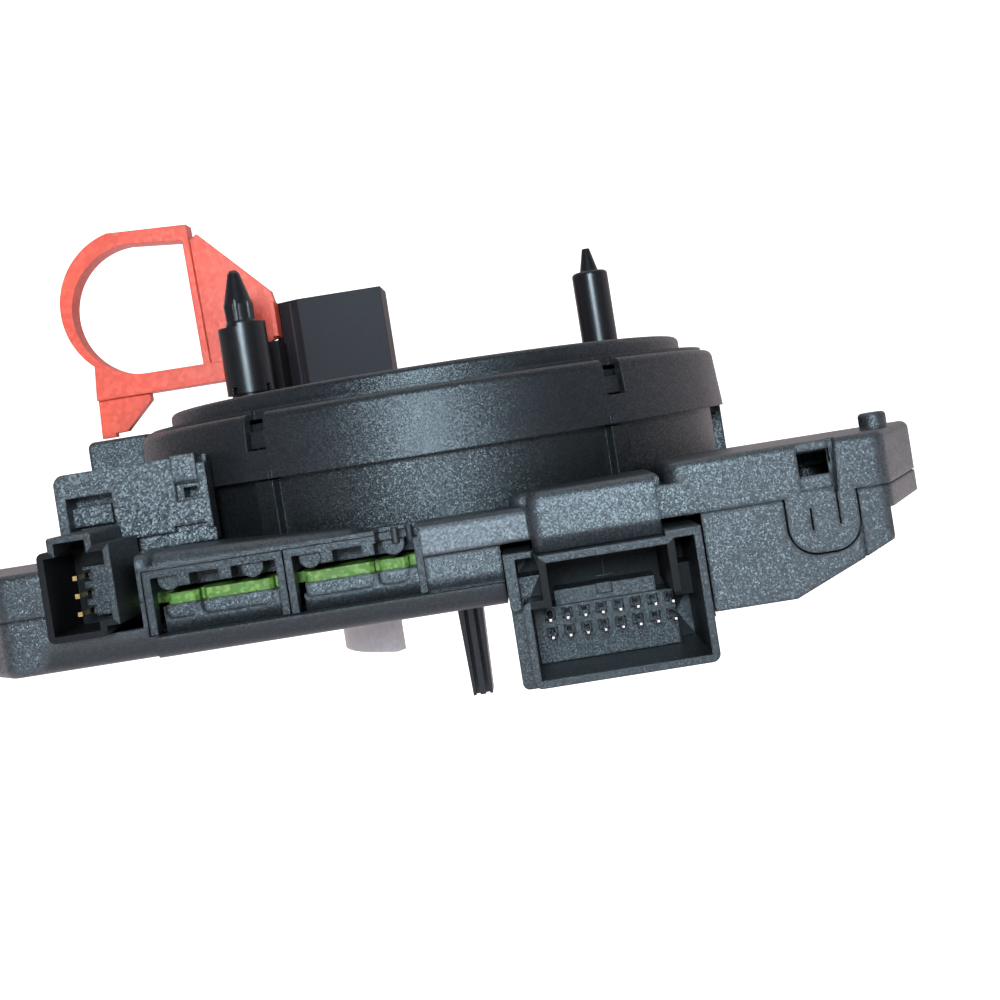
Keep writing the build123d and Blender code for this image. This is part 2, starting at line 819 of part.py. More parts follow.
# Header shroud with its plug cavity, side channel, latch bar and side strip
latch_left = 10.5
latch_w = 1.6
latch_front_y = -60.0
latch_low_z = -1.0
latch_r = 0.7
latch_lip_low_z = 6.2
strip_low_z = -12.4
strip_front_y = -58.0
strip_r = 1.0
key_block_z = 3.2
key_block_y = -56.0
key_back_y = -50.0
slot_over = 1.2
channel_stop_top_z = 1.0
channel_stop_low_z = -3.7
channel_stop_y = -50.0
with BuildPart() as header_shroud:
    with BuildSketch(front_plane(header_front_y)) as header_shape:
        outline([
            (header_left, header_bottom),
            (header_right, header_bottom),
            (header_right, header_channel_top),
            (divider_x, header_channel_top),
            (divider_x, header_top),
            (header_step_x, header_top),
            (header_step_x, header_step_z),
            (header_left, header_step_z),
        ])
        fillet(header_shape.vertices().group_by(Axis.Y)[0], header_corner_r)
        fillet(header_shape.vertices().sort_by_distance((header_left, header_step_z))[0], header_corner_r)
    extrude(amount=-header_depth)
    with BuildSketch(front_plane(header_front_y)):
        low_z = header_bottom + header_wall
        outline([
            (header_left + header_wall, low_z),
            (header_right - header_wall, low_z),
            (header_right - header_wall, header_channel_top - header_wall),
            (channel_x, header_channel_top - header_wall),
            (channel_x, divider_low_z),
            (divider_x, divider_low_z),
            (divider_x, header_top - header_wall),
            (header_step_x + header_wall, header_top - header_wall),
            (header_step_x + header_wall, header_step_z - header_wall),
            (header_left + header_wall, header_step_z - header_wall),
        ])
    extrude(amount=-(header_depth - header_wall), mode=Mode.SUBTRACT)
    # stop in the side channel
    box_between(
        (channel_x, channel_stop_y, channel_stop_low_z),
        (header_right - header_wall, header_back_y, channel_stop_top_z),
    )
    # latch bar with its rounded foot, joined over the small key pocket
    with BuildSketch(front_plane(latch_front_y)) as latch_shape:
        rectangle((latch_left, latch_low_z), (latch_left + latch_w, header_channel_top))
        fillet(latch_shape.vertices().group_by(Axis.Y)[0], latch_r)
    extrude(amount=-(header_back_y - latch_front_y))
    box_between(
        (latch_left + latch_w, latch_front_y, latch_lip_low_z),
        (hump_left - part_gap, header_back_y, header_channel_top),
    )
    box_between(
        (latch_left + latch_w, key_block_y, header_step_z - header_wall),
        (header_step_x, header_back_y, key_block_z),
    )
    box_between(
        (latch_left + latch_w, key_back_y, header_step_z - header_wall),
        (header_step_x, header_back_y, header_top),
    )
    # side strip
    with BuildSketch(front_plane(strip_front_y)) as strip_shape:
        rectangle((latch_left, strip_low_z), (header_left + header_wall / 2, latch_low_z + latch_r))
        fillet(strip_shape.vertices().group_by(Axis.Y)[0].sort_by(Axis.X)[0], strip_r)
    extrude(amount=-(header_back_y - strip_front_y))
    # the pins leave through a slot in the back wall
    box_between(
        (pin_first_x - slot_over, header_back_y - header_wall - cut_over, pin_rows[1][0] - pin_size),
        (pin_columns_x[-1] + slot_over, header_back_y + cut_over, pin_top_row_z + pin_size),
        Mode.SUBTRACT,
    )
save(header_shroud, "header_shroud")

# Insulator block: a stepped head with a notch, and a square recess round each pin
block_side_gap = 0.1
block_step_z = -2.5
block_head_z = -0.3
block_head_left = 16.8
block_head_right = 31.8
block_head_back = 0.8
notch_left = 23.1
notch_right = 25.4
notch_z = -1.8
recess_w = 1.5
recess_depth = 1.2
with BuildPart() as header_pin_block:
    box_between(
        (header_left + header_wall + block_side_gap, pin_block_y, header_bottom + header_wall + block_side_gap),
        (channel_x - block_side_gap, header_back_y - header_wall, block_step_z),
    )
    box_between(
        (block_head_left, pin_block_y + block_head_back, block_step_z - cut_over),
        (block_head_right, header_back_y - header_wall, block_head_z),
    )
    box_between(
        (notch_left, pin_block_y, notch_z),
        (notch_right, pin_block_y + 2 * block_head_back, block_head_z + cut_over),
        Mode.SUBTRACT,
    )
    with BuildSketch(front_plane(pin_block_y)):
        with Locations(*[(x, z) for x in pin_columns_x for z, _ in pin_rows]):
            Rectangle(recess_w, recess_w)
    extrude(amount=-recess_depth, mode=Mode.SUBTRACT)
    with BuildSketch(front_plane(pin_block_y)):
        with Locations(*[(x, z) for x in pin_columns_x for z, _ in pin_rows]):
            Rectangle(pin_size + 2 * fit_gap, pin_size + 2 * fit_gap)
    extrude(amount=-header_depth, mode=Mode.SUBTRACT)
save(header_pin_block, "header_pin_block")

with BuildPart() as header_pins:
    half = pin_size / 2
    for x in pin_columns_x:
        for row_z, bend_y in pin_rows:
            box_between((x - half, pin_tip_y, row_z - half), (x + half, bend_y + half, row_z + half))
            box_between(
                (x - half, bend_y - half, row_z + half),
                (x + half, bend_y + half, board_top_z + pin_stand),
            )
    chamfer(header_pins.faces().group_by(Axis.Y)[0].edges(), pin_point)
save(header_pins, "header_pins")

# Small keyed plug socket with three pins
plug_points = [
    (plug_left, plug_bottom),
    (plug_notch_x, plug_bottom),
    (plug_notch_x, plug_notch_z),
    (plug_right, plug_notch_z),
    (plug_right, plug_top),
    (plug_key_right, plug_top),
    (plug_key_right, plug_key_z),
    (plug_key_left, plug_key_z),
    (plug_key_left, plug_top),
    (plug_left, plug_top),
]
with BuildPart() as small_socket:
    with BuildSketch(front_plane(plug_front_y)) as plug_shape:
        outline(plug_points)
        fillet(plug_shape.vertices().group_by(Axis.Y)[0], plug_corner_r)
        fillet(plug_shape.vertices().sort_by_distance((plug_left, plug_top))[0], plug_corner_r)
        fillet(plug_shape.vertices().group_by(Axis.Y)[-1], plug_corner_r / 2)
    extrude(amount=-(plug_back_y - plug_front_y))
    with BuildSketch(front_plane(plug_front_y)):
        outline(plug_points)
        offset(amount=-plug_wall, kind=Kind.INTERSECTION)
    extrude(amount=-(plug_back_y - plug_front_y - plug_floor_t), mode=Mode.SUBTRACT)
save(small_socket, "small_socket")

plug_block_left = -50.0
plug_block_right = -46.5
plug_block_front_y = -53.0
plug_block_top = 14.2
plug_slot_h = 1.6
plug_slot_depth = 2.2
plug_tip_y = -55.0
plug_end_y = plug_back_y - plug_floor_t
with BuildPart() as small_socket_block:
    box_between(
        (plug_block_left, plug_block_front_y, plug_notch_z + plug_wall + touch_gap),
        (plug_block_right, plug_end_y, plug_block_top),
    )
    for z in plug_pin_rows:
        box_between(
            (plug_block_left, plug_block_front_y, z - plug_slot_h / 2),
            (plug_block_left + plug_slot_depth / 2, plug_block_front_y + plug_slot_depth, z + plug_slot_h / 2),
            Mode.SUBTRACT,
        )
save(small_socket_block, "small_socket_block")

with BuildPart() as small_socket_pins:
    half = plug_pin_size / 2
    for z in plug_pin_rows:
        box_between((plug_pin_x - half, plug_tip_y, z - half), (plug_pin_x + half, plug_end_y, z + half))
save(small_socket_pins, "small_socket_pins")

# Ribbon terminal box, which stands on the left wing against the cassette
box_left = -54.9
box_right = -30.5
box_front_y = -46.0
box_rise = 13.1
box_foot_in = 1.0
box_corner_r = 1.6
box_undercut_z = left_top_z + 2.1
box_undercut = 1.4
box_top = left_top_z + box_rise
# recess with a stepped panel
recess_left = -53.4
recess_right = -46.4
recess_top = 24.2
recess_in = 4.5
panel_right = -47.5
panel_top = 22.6
panel_low = 19.7
panel_in = 2.4
# lug with its eye, side strip and foot notch
lug_left = -36.9
lug_right = -33.2
lug_low = 24.2
lug_out = 0.5
lug_rise = 0.3
corner_low = 26.6
eye_low = 21.3
eye_top = 23.9
eye_hole_left = -35.9
eye_hole_right = -33.8
eye_hole_low = 21.7
eye_hole_top = 23.2
strip_x = -32.0
strip_in = 4.0
strip_top = 23.1
foot_notch_left = -37.8
foot_notch_right = -33.0
foot_notch_top = 17.7
with BuildPart() as terminal_box:
    with BuildSketch(front_plane(box_front_y)) as terminal_shape:
        outline([
            (box_left, left_top_z),
            (box_right - box_foot_in, left_top_z),
            (box_right, box_top),
            (box_left, box_top),
        ])
        box_corner = terminal_shape.vertices().sort_by_distance((box_left, box_top))[0]
        fillet(box_corner, box_corner_r)
    extrude(amount=-(left_wing_back_y - box_front_y))
    Cylinder(seat_r, far, mode=Mode.SUBTRACT)
    box_between(
        (-far, -far, left_top_z),
        (far, box_front_y + box_undercut, box_undercut_z),
        Mode.SUBTRACT,
    )
    box_between(
        (recess_left, box_front_y - cut_over, box_undercut_z - cut_over),
        (recess_right, box_front_y + recess_in, recess_top),
        Mode.SUBTRACT,
    )
    box_between(
        (recess_left, box_front_y + panel_in, panel_low),
        (panel_right, box_front_y + recess_in, panel_top),
    )
    box_between((lug_right, -far, corner_low), (far, box_front_y + strip_in, far), Mode.SUBTRACT)
    box_between(
        (strip_x, -far, left_top_z),
        (far, box_front_y + strip_in, strip_top + strip_in),
        Mode.SUBTRACT,
    )
    box_between(
        (lug_left, box_front_y - lug_out, lug_low),
        (lug_right, box_front_y + cut_over, box_top + lug_rise),
    )
    box_between(
        (lug_left, box_front_y - cut_over, eye_low),
        (lug_right, box_front_y + cut_over, eye_top),
        Mode.SUBTRACT,
    )
    box_between(
        (eye_hole_left, box_front_y - cut_over, eye_hole_low),
        (eye_hole_right, box_front_y + recess_in, eye_hole_top),
        Mode.SUBTRACT,
    )
    box_between(
        (foot_notch_left, box_front_y - cut_over, box_undercut_z - cut_over),
        (foot_notch_right, box_front_y + box_undercut, foot_notch_top),
        Mode.SUBTRACT,
    )
save(terminal_box, "terminal_box")

# Rest of the transport lock, which stands on the deck
rest_left = guide_left - 31.0
rest_w = 12.0
rest_front_gap = 3.0
rest_depth = 11.0
rest_rise = 21.4
rest_corner_r = 1.4
rest_edge_r = 0.8
rest_top_z = deck_z + rest_rise
with BuildPart() as lock_rest:
    with BuildSketch(front_plane(lock_y - rest_front_gap)) as rest_shape:
        rectangle((rest_left, deck_z), (rest_left + rest_w, rest_top_z))
        fillet(rest_shape.vertices().group_by(Axis.Y)[-1].sort_by(Axis.X)[0], rest_corner_r)
    extrude(amount=-rest_depth)
    fillet(lock_rest.edges().filter_by(Axis.Z), rest_edge_r)
save(lock_rest, "lock_rest")

# Cassette shell with its clip posts and the spindles of the measuring gears
clip_sweep_deg = clip_step_deg * clip_count
window_z = split_z + window_rise
clip_floor_r = shell_inner_r + cover_gap
with BuildPart() as drum_shell:
    with BuildSketch(Plane.XZ):
        outline([
            (hub_r + journal_gap, drum_floor_z),
            (hub_r + journal_gap, drum_floor_z + drum_floor_t),
            (shell_inner_r, drum_floor_z + drum_floor_t),
            (shell_inner_r, drum_top_z),
            (drum_r, drum_top_z),
            (drum_r, deck_z),
            (shell_inner_r, deck_z),
            (shell_inner_r, drum_floor_z),
        ])
    revolve(axis=Axis.Z)
    with BuildSketch(Plane.XY.offset(deck_z)):
        with PolarLocations(drum_r, clip_count, clip_first_deg, clip_sweep_deg):
            Rectangle(clip_t, clip_w)
        Circle(clip_floor_r, mode=Mode.SUBTRACT)
    extrude(amount=split_rise - part_gap)
    with BuildSketch(Plane.XY.offset(window_z + part_gap)):
        with PolarLocations(drum_r, clip_count, clip_first_deg, clip_sweep_deg):
            Rectangle(hook_t, window_w - 2 * wing_gap)
        Circle(clip_floor_r, mode=Mode.SUBTRACT)
    extrude(amount=hook_h)
    with Locations(*[(x, y, drum_floor_z) for x, y in (gear_a_centre, gear_b_centre)]):
        Cylinder(spindle_r, drum_floor_z - gear_z - spindle_seat, align=hanging)
save(drum_shell, "drum_shell")

# Cassette cover: a stepped ring with a window over each clip
cover_shoulder_z = cover_top_z - cover_step_drop
with BuildPart() as drum_cover:
    with BuildSketch(Plane.XZ) as cover_profile:
        outline([
            (drum_r + cover_gap, split_z),
            (cover_foot_r, split_z),
            (cover_head_r, cover_shoulder_z),
            (cover_step_r, cover_shoulder_z),
            (cover_step_r, cover_top_z),
            (disc_r + disc_gap, cover_top_z),
            (disc_r + disc_gap, cover_top_z - cover_roof_t),
            (drum_r + cover_gap, cover_top_z - cover_roof_t),
        ])
        shoulder = cover_profile.vertices().sort_by_distance((cover_head_r, cover_shoulder_z))[0]
        fillet(shoulder, cover_edge_r)
    revolve(axis=Axis.Z)
    with BuildSketch(Plane.XY.offset(window_z)):
        with PolarLocations(cover_foot_r - cover_wall / 2, clip_count, clip_first_deg, clip_sweep_deg):
            Rectangle(window_depth, window_w)
    extrude(amount=drum_rise, mode=Mode.SUBTRACT)
    # a small sill under each window
    with BuildSketch(Plane.XY.offset(split_z)):
        with PolarLocations(cover_foot_r - wing_gap, clip_count, clip_first_deg, clip_sweep_deg):
            Rectangle(sill_t, sill_w)
        Circle(cover_foot_r - cover_wall / 2, mode=Mode.SUBTRACT)
    extrude(amount=sill_h)
save(drum_cover, "drum_cover")


# Gears: each flank is one arc through three points of the involute
def involute(base_r, radius):
    # polar angle, in radians, at which the involute from base_r reaches this radius
    pressure = math.acos(min(1.0, base_r / radius))
    return math.tan(pressure) - pressure


def gear_face(teeth, first_tooth_deg, bore):
    pitch_r = gear_module * teeth / 2
    base_r = pitch_r * math.cos(math.radians(pressure_deg))
    tip_r = pitch_r + gear_addendum * gear_module
    root_r = pitch_r - gear_dedendum * gear_module
    start_r = max(base_r, root_r)
    half_tooth = (gear_module * math.pi / 2 - gear_backlash) / 2 / pitch_r
    radii = [start_r, (start_r + tip_r) / 2, tip_r]
    offsets = [half_tooth + involute(base_r, pitch_r) - involute(base_r, r) for r in radii]
    with BuildSketch() as face:
        with BuildLine():
            for i in range(teeth):
                centre = math.radians(first_tooth_deg) + 2 * math.pi * i / teeth
                rising = [at_angle(r, centre - o) for r, o in zip(radii, offsets)]
                falling = [at_angle(r, centre + o) for r, o in zip(radii, offsets)]
                heel = falling[0]
                if root_r < start_r:
                    heel = at_angle(root_r, centre + offsets[0])
                    Line(at_angle(root_r, centre - offsets[0]), rising[0])
                    Line(falling[0], heel)
                ThreePointArc(*rising)
                Line(rising[2], falling[2])
                ThreePointArc(*falling)
                next_centre = centre + 2 * math.pi / teeth
                valley = at_angle(root_r, centre + math.pi / teeth)
                ThreePointArc(heel, valley, at_angle(root_r, next_centre - offsets[0]))
        make_face()
        Circle(bore, mode=Mode.SUBTRACT)
    return face.sketch


gear_centre_r = 0.5
hub_gear_face = gear_face(hub_teeth, 0, hub_r - hub_wall / 4)
gear_a_face = gear_face(gear_a_teeth, gear_a_deg + 180 + 180 / gear_a_teeth, gear_centre_r)
gear_b_face = gear_face(gear_b_teeth, gear_b_deg + 180 + 180 / gear_b_teeth, gear_centre_r)

# Rotor hub: a sleeve on the steering shaft with a gear ring and a dog at the back
dog_from = dog_angle_deg - dog_span_deg / 2
with BuildPart() as rotor_hub:
    with BuildSketch(Plane.XY.offset(-hub_drop)):
        Circle(hub_r)
        Circle(bore_r, mode=Mode.SUBTRACT)
    extrude(amount=hub_top_z + hub_drop)
    with BuildSketch(Plane.XY.offset(hub_gear_z)):
        add(hub_gear_face)
    extrude(amount=gear_t + hub_gear_extra)
    with BuildSketch(Plane.XY.offset(-hub_drop)):
        with BuildLine():
            CenterArc((0, 0), hub_r, dog_from, dog_span_deg)
            CenterArc((0, 0), bore_r, dog_from, dog_span_deg)
            Line(polar(hub_r, dog_from), polar(bore_r, dog_from))
            Line(polar(hub_r, dog_from + dog_span_deg), polar(bore_r, dog_from + dog_span_deg))
        make_face()
    extrude(amount=-dog_drop)
save(rotor_hub, "rotor_hub")


# Measuring gears with a magnet in the cup of each
def measuring_gear(face, centre):
    sleeve_top_z = drum_floor_z - gear_end_gap
    with BuildPart() as gear:
        with BuildSketch(Plane.XY.offset(gear_z)):
            with Locations(centre):
                add(face)
                Circle(magnet_r + gear_sleeve_t)
        extrude(amount=gear_t)
        with Locations((*centre, sleeve_top_z)):
            Cylinder(spindle_r + gear_sleeve_t, sleeve_top_z - gear_z, align=hanging)
        with Locations((*centre, gear_z - magnet_t + magnet_sink)):
            Cylinder(magnet_r + cut_over, magnet_t, align=upright)
            Cylinder(magnet_r + fit_gap, magnet_t, align=upright, mode=Mode.SUBTRACT)
        with Locations((*centre, drum_floor_z)):
            bore_depth = drum_floor_z - gear_z - gear_floor_t
            Cylinder(spindle_r + spindle_gap, bore_depth, align=hanging, mode=Mode.SUBTRACT)
    return gear


def magnet_in(centre):
    with BuildPart() as magnet:
        with Locations((*centre, gear_z - magnet_t + magnet_sink)):
            Cylinder(magnet_r, magnet_t, align=upright)
    return magnet


measuring_gear_a = measuring_gear(gear_a_face, gear_a_centre)
save(measuring_gear_a, "measuring_gear_a")
measuring_gear_b = measuring_gear(gear_b_face, gear_b_centre)
save(measuring_gear_b, "measuring_gear_b")
magnet_a = magnet_in(gear_a_centre)
save(magnet_a, "magnet_a")
magnet_b = magnet_in(gear_b_centre)
save(magnet_b, "magnet_b")

# Ribbon: a spiral of half-turn arcs between the rotor's sleeve and the shell
ribbon_t = 0.5
ribbon_turns = 4
ribbon_gap = 0.6
ribbon_head_gap = 0.6
sleeve_r = hub_r + fit_gap + sleeve_wall
ribbon_foot_z = drum_floor_z + drum_floor_t + cover_gap
ribbon_first_r = sleeve_r + ribbon_gap + ribbon_t
ribbon_last_r = shell_inner_r - ribbon_gap - ribbon_t
ribbon_step = (ribbon_last_r - ribbon_first_r) / (2 * ribbon_turns)
with BuildPart() as spiral_ribbon:
    with BuildSketch(Plane.XY.offset(ribbon_foot_z)):
        with BuildLine():
            start_x = ribbon_first_r
            for half_turn in range(2 * ribbon_turns):
                side = 1 if half_turn % 2 == 0 else -1
                end_x = -side * (ribbon_first_r + ribbon_step * (half_turn + 1))
                radius = abs(start_x - end_x) / 2
                centre_x = (start_x + end_x) / 2
                ThreePointArc((start_x, 0), (centre_x, side * radius), (end_x, 0))
                start_x = end_x
            offset(amount=ribbon_t / 2)
        make_face()
    extrude(amount=skirt_z - ribbon_head_gap - ribbon_foot_z)
save(spiral_ribbon, "spiral_ribbon")

# Connector tower on the rotor disc, with a chamfered, ribbed corner
tower_left = 1.5 - pin_x
tower_w = 22.7
tower_front_gap = 4.0
tower_depth = 11.2
tower_rise = 21.1
tower_floor_rise = 6.8
tower_wall = 1.7
tower_chamfer_x = 5.6
tower_chamfer_y = 3.0
ridge_r = 0.7
tower_right = tower_left + tower_w
tower_front = lock_y + tower_front_gap
tower_back = tower_front + tower_depth
tower_top = disc_top_z + tower_rise
tower_floor = disc_top_z + tower_floor_rise
disc_root_z = disc_top_z - 0.5

# Seats of the two pins
spigot_r = 2.0
spigot_depth = 2.0
with BuildPart() as rotor_disc:
    with BuildSketch(Plane.XZ) as disc_profile:
        outline([
            (hub_r + fit_gap, drum_floor_z + drum_floor_t + sleeve_foot_gap),
            (sleeve_r, drum_floor_z + drum_floor_t + sleeve_foot_gap),
            (sleeve_r, hub_top_z),
            (disc_r - skirt_t, hub_top_z),
            (disc_r - skirt_t, skirt_z),
            (disc_r, skirt_z),
            (disc_r, disc_top_z),
            (bore_r + disc_mouth_gap, disc_top_z),
            (bore_r + disc_mouth_gap, hub_top_z),
            (hub_r + fit_gap, hub_top_z),
        ])
        fillet(disc_profile.vertices().sort_by_distance((disc_r, disc_top_z))[0], disc_edge_r)
    revolve(axis=Axis.Z)
    with BuildSketch(Plane.XY.offset(disc_root_z)):
        outline([
            (tower_left + tower_chamfer_x, tower_front),
            (tower_right, tower_front),
            (tower_right, tower_back),
            (tower_left, tower_back),
            (tower_left, tower_front + tower_chamfer_y),
        ])
    extrude(amount=tower_top - disc_root_z)
    with BuildSketch(Plane.XY.offset(disc_root_z)):
        for share in (0.27, 0.7):
            ridge_x = tower_left + tower_chamfer_x * share
            ridge_y = tower_front + tower_chamfer_y * (1 - share)
            with Locations((ridge_x, ridge_y)):
                Circle(ridge_r)
    extrude(amount=tower_rise)
    with BuildSketch(Plane.XY.offset(tower_floor)):
        outline([
            (tower_left + tower_chamfer_x, tower_front + tower_wall),
            (tower_right - tower_wall, tower_front + tower_wall),
            (tower_right - tower_wall, tower_back - tower_wall),
            (tower_left + tower_wall, tower_back - tower_wall),
            (tower_left + tower_wall, tower_front + tower_chamfer_y + tower_wall),
        ])
    extrude(amount=tower_rise, mode=Mode.SUBTRACT)
    # guide of the lock's leg
    box_between(
        (guide_left, lock_y - guide_front_gap, disc_root_z),
        (guide_right, tower_front + cut_over / 2, guide_top),
    )
    leg_room = lock_web_t / 2 + lock_slide_gap
    box_between(
        (slot_left, lock_y - leg_room, slot_floor),
        (slot_right, lock_y + leg_room, guide_top + cut_over),
        Mode.SUBTRACT,
    )
    # sockets of the two pins
    with Locations((pin_x, 0, disc_top_z), (-pin_x, 0, disc_top_z)):
        Cylinder(spigot_r + fit_gap, 2 * (spigot_depth + part_gap), mode=Mode.SUBTRACT)
save(rotor_disc, "rotor_disc")

terminal_columns = 5
terminal_pitch_x = 3.4
terminal_pitch_y = 4.0
terminal_size = (0.8, 1.6, 9.0)
terminal_point = 0.25
terminals_x = (tower_left + tower_right) / 2 + 0.6
with BuildPart() as tower_terminals:
    with Locations((terminals_x, (tower_front + tower_back) / 2, tower_floor)):
        with GridLocations(terminal_pitch_x, terminal_pitch_y, terminal_columns, 2):
            Box(*terminal_size, align=upright)
    chamfer(tower_terminals.faces().group_by(Axis.Z)[-1].edges(), terminal_point)
save(tower_terminals, "tower_terminals")

# Drive pin on the right
drive_r = 3.3
drive_neck_r = 1.7
drive_point_r = 0.7
drive_rise = 14.6
drive_point_h = 4.4
drive_shoulder_r = 0.7
drive_shoulder_z = disc_top_z + drive_rise
drive_tip_z = drive_shoulder_z + drive_point_h
with BuildPart() as drive_pin:
    with BuildSketch(Plane.XZ) as drive_profile:
        outline([
            (0, disc_top_z - spigot_depth),
            (spigot_r, disc_top_z - spigot_depth),
            (spigot_r, disc_top_z),
            (drive_r, disc_top_z),
            (drive_r, drive_shoulder_z),
            (drive_neck_r, drive_shoulder_z + 0.2),
            (drive_point_r, drive_tip_z),
            (0, drive_tip_z),
        ])
        corners = drive_profile.vertices()
        fillet(corners.sort_by_distance((drive_r, drive_shoulder_z))[0], drive_shoulder_r)
    revolve(axis=Axis.Z)
drive_pin.part.position = (pin_x, 0, 0)
save(drive_pin, "drive_pin")

# Centring pin on the left, fluted below its point, with a slotted sleeve
point_r = 2.6
point_belly_r = 2.7
point_neck_r = 1.1
point_end_r = 0.6
point_rise = 15.7
point_belly_h = 3.0
point_h = 9.5
point_end_h = 0.6
flute_count = 8
flute_r = 0.55
sleeve_in_r = 2.9
sleeve_step = 0.7
sleeve_out_r = 4.4
sleeve_foot_rise = 2.2
sleeve_rise = 15.2
sleeve_slot_w = 1.3
sleeve_slot_h = 2.6
sleeve_step_cut = 0.6
point_z = disc_top_z + point_rise
point_tip_z = point_z + point_h
sleeve_from_z = disc_top_z + sleeve_foot_rise
sleeve_to_z = disc_top_z + sleeve_rise
with BuildPart() as centring_pin:
    with BuildSketch(Plane.XZ):
        outline([
            (0, disc_top_z - spigot_depth),
            (spigot_r, disc_top_z - spigot_depth),
            (spigot_r, disc_top_z),
            (sleeve_in_r - fit_gap, disc_top_z),
            (sleeve_in_r - fit_gap, sleeve_to_z),
            (point_r, point_z),
            (point_belly_r, point_z + point_belly_h),
            (point_neck_r, point_tip_z - point_end_h),
            (point_end_r, point_tip_z),
            (0, point_tip_z),
        ])
    revolve(axis=Axis.Z)
    with BuildSketch(Plane.XY.offset(point_z)):
        with PolarLocations(point_belly_r + flute_r / 2, flute_count):
            Circle(flute_r)
    extrude(amount=point_h, mode=Mode.SUBTRACT)
centring_pin.part.position = (-pin_x, 0, 0)
save(centring_pin, "centring_pin")

with BuildPart() as pin_sleeve:
    with BuildSketch(Plane.XZ):
        outline([
            (sleeve_in_r, disc_top_z),
            (sleeve_in_r + sleeve_step, disc_top_z),
            (sleeve_in_r + sleeve_step, sleeve_from_z),
            (sleeve_out_r, sleeve_from_z),
            (sleeve_out_r, sleeve_to_z),
            (sleeve_in_r, sleeve_to_z),
        ])
    revolve(axis=Axis.Z)
    with PolarLocations(sleeve_out_r, 4, 60):
        with Locations((0, 0, sleeve_from_z - sleeve_slot_h / 2)):
            Box(sleeve_out_r, sleeve_slot_w, 2 * sleeve_slot_h, mode=Mode.SUBTRACT)
    with Locations((-sleeve_out_r / 2, 0, sleeve_to_z)):
        Box(sleeve_out_r, 2 * sleeve_out_r, 2 * sleeve_step_cut, mode=Mode.SUBTRACT)
pin_sleeve.part.position = (-pin_x, 0, 0)
save(pin_sleeve, "pin_sleeve")

# Transport lock: a pull loop with a leg in the rotor's guide and a foot on the rest
lock_right_x = guide_left - 5.8
lock_left_x = guide_left - 27.9
lock_bar_drop = 6.2
lock_bar_h = 4.0
lock_bar_low_z = guide_top - lock_bar_drop
lock_bar_high_z = lock_bar_low_z + lock_bar_h
lock_end_x = guide_left - 0.7
lock_flange_x = guide_left + 9.9
lock_flange_w = 1.1
lock_flange_low_z = guide_top + 1.0
lock_flange_h = 7.0
lock_flange_high_z = lock_flange_low_z + lock_flange_h
leg_gap = 0.4
foot_z = rest_top_z + lock_foot_gap
with BuildPart() as lock_tab:
    # rim: a D of one arc and straight runs, with its window
    with BuildSketch(front_plane(lock_y - lock_rim_t / 2)):
        with BuildLine():
            arc_end = (lock_left_x + 0.6, lock_bar_high_z + 2.8)
            arc_start = (lock_left_x + 7.0, lock_bar_high_z + 28.7)
            rim_corner = (lock_right_x + 0.8, lock_bar_high_z + 28.0)
            rim_foot = (lock_right_x + 1.4, lock_bar_high_z)
            ThreePointArc(arc_start, (lock_left_x - 4.1, lock_bar_high_z + 17.2), arc_end)
            Polyline(
                arc_end,
                (lock_left_x, lock_bar_low_z),
                (lock_end_x, lock_bar_low_z),
                (lock_end_x, lock_bar_high_z),
                rim_foot,
                rim_corner,
                arc_start,
            )
        make_face()
        with BuildLine():
            window_top = (lock_right_x - 11.4, lock_bar_high_z + 25.9)
            window_low = (lock_right_x - 11.8, lock_bar_high_z)
            ThreePointArc(window_top, (lock_left_x - 1.9, lock_bar_high_z + 15.4), window_low)
            Polyline(
                window_low,
                (lock_right_x, lock_bar_high_z),
                (lock_right_x - 0.4, lock_bar_high_z + 24.9),
                window_top,
            )
        make_face(mode=Mode.SUBTRACT)
    extrude(amount=-lock_rim_t)
    # web: the slanted shoulder, the leg and the foot
    with BuildSketch(front_plane(lock_y - lock_web_t / 2)):
        outline([
            (lock_right_x, lock_bar_high_z + 24.4),
            (lock_right_x + 2.3, lock_bar_high_z + 26.0),
            (lock_flange_x - 0.4, lock_flange_high_z + 2.2),
            (lock_flange_x, lock_flange_high_z),
            (lock_flange_x, lock_flange_low_z),
            (lock_flange_x - 1.7, guide_top + leg_gap),
            (slot_right - leg_gap, guide_top + leg_gap),
            (slot_right - leg_gap, slot_floor + leg_gap),
            (slot_left + leg_gap, slot_floor + leg_gap),
            (slot_left + leg_gap, guide_top + leg_gap),
            (guide_left - leg_gap, guide_top + leg_gap),
            (guide_left - leg_gap, lock_bar_high_z - cut_over),
            (lock_right_x, lock_bar_high_z - cut_over),
        ])
        outline([
            (lock_left_x, lock_bar_low_z + cut_over),
            (lock_left_x + 10.4, lock_bar_low_z + cut_over),
            (lock_left_x + 10.4, lock_bar_low_z - 1.4),
            (lock_left_x + 4.8, foot_z + 0.8),
            (lock_left_x + 2.4, foot_z + 0.7),
            (lock_left_x + 2.4, foot_z),
            (lock_left_x - 0.4, foot_z),
        ])
    extrude(amount=-lock_web_t)
    # flange along the shoulder's steep end
    box_between(
        (lock_flange_x - lock_flange_w, lock_y - lock_rim_t / 2, lock_flange_low_z),
        (lock_flange_x, lock_y + lock_rim_t / 2, lock_flange_high_z),
    )
save(lock_tab, "lock_tab")
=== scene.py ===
import json
import math

import bmesh
import bpy
from mathutils import Matrix, Vector


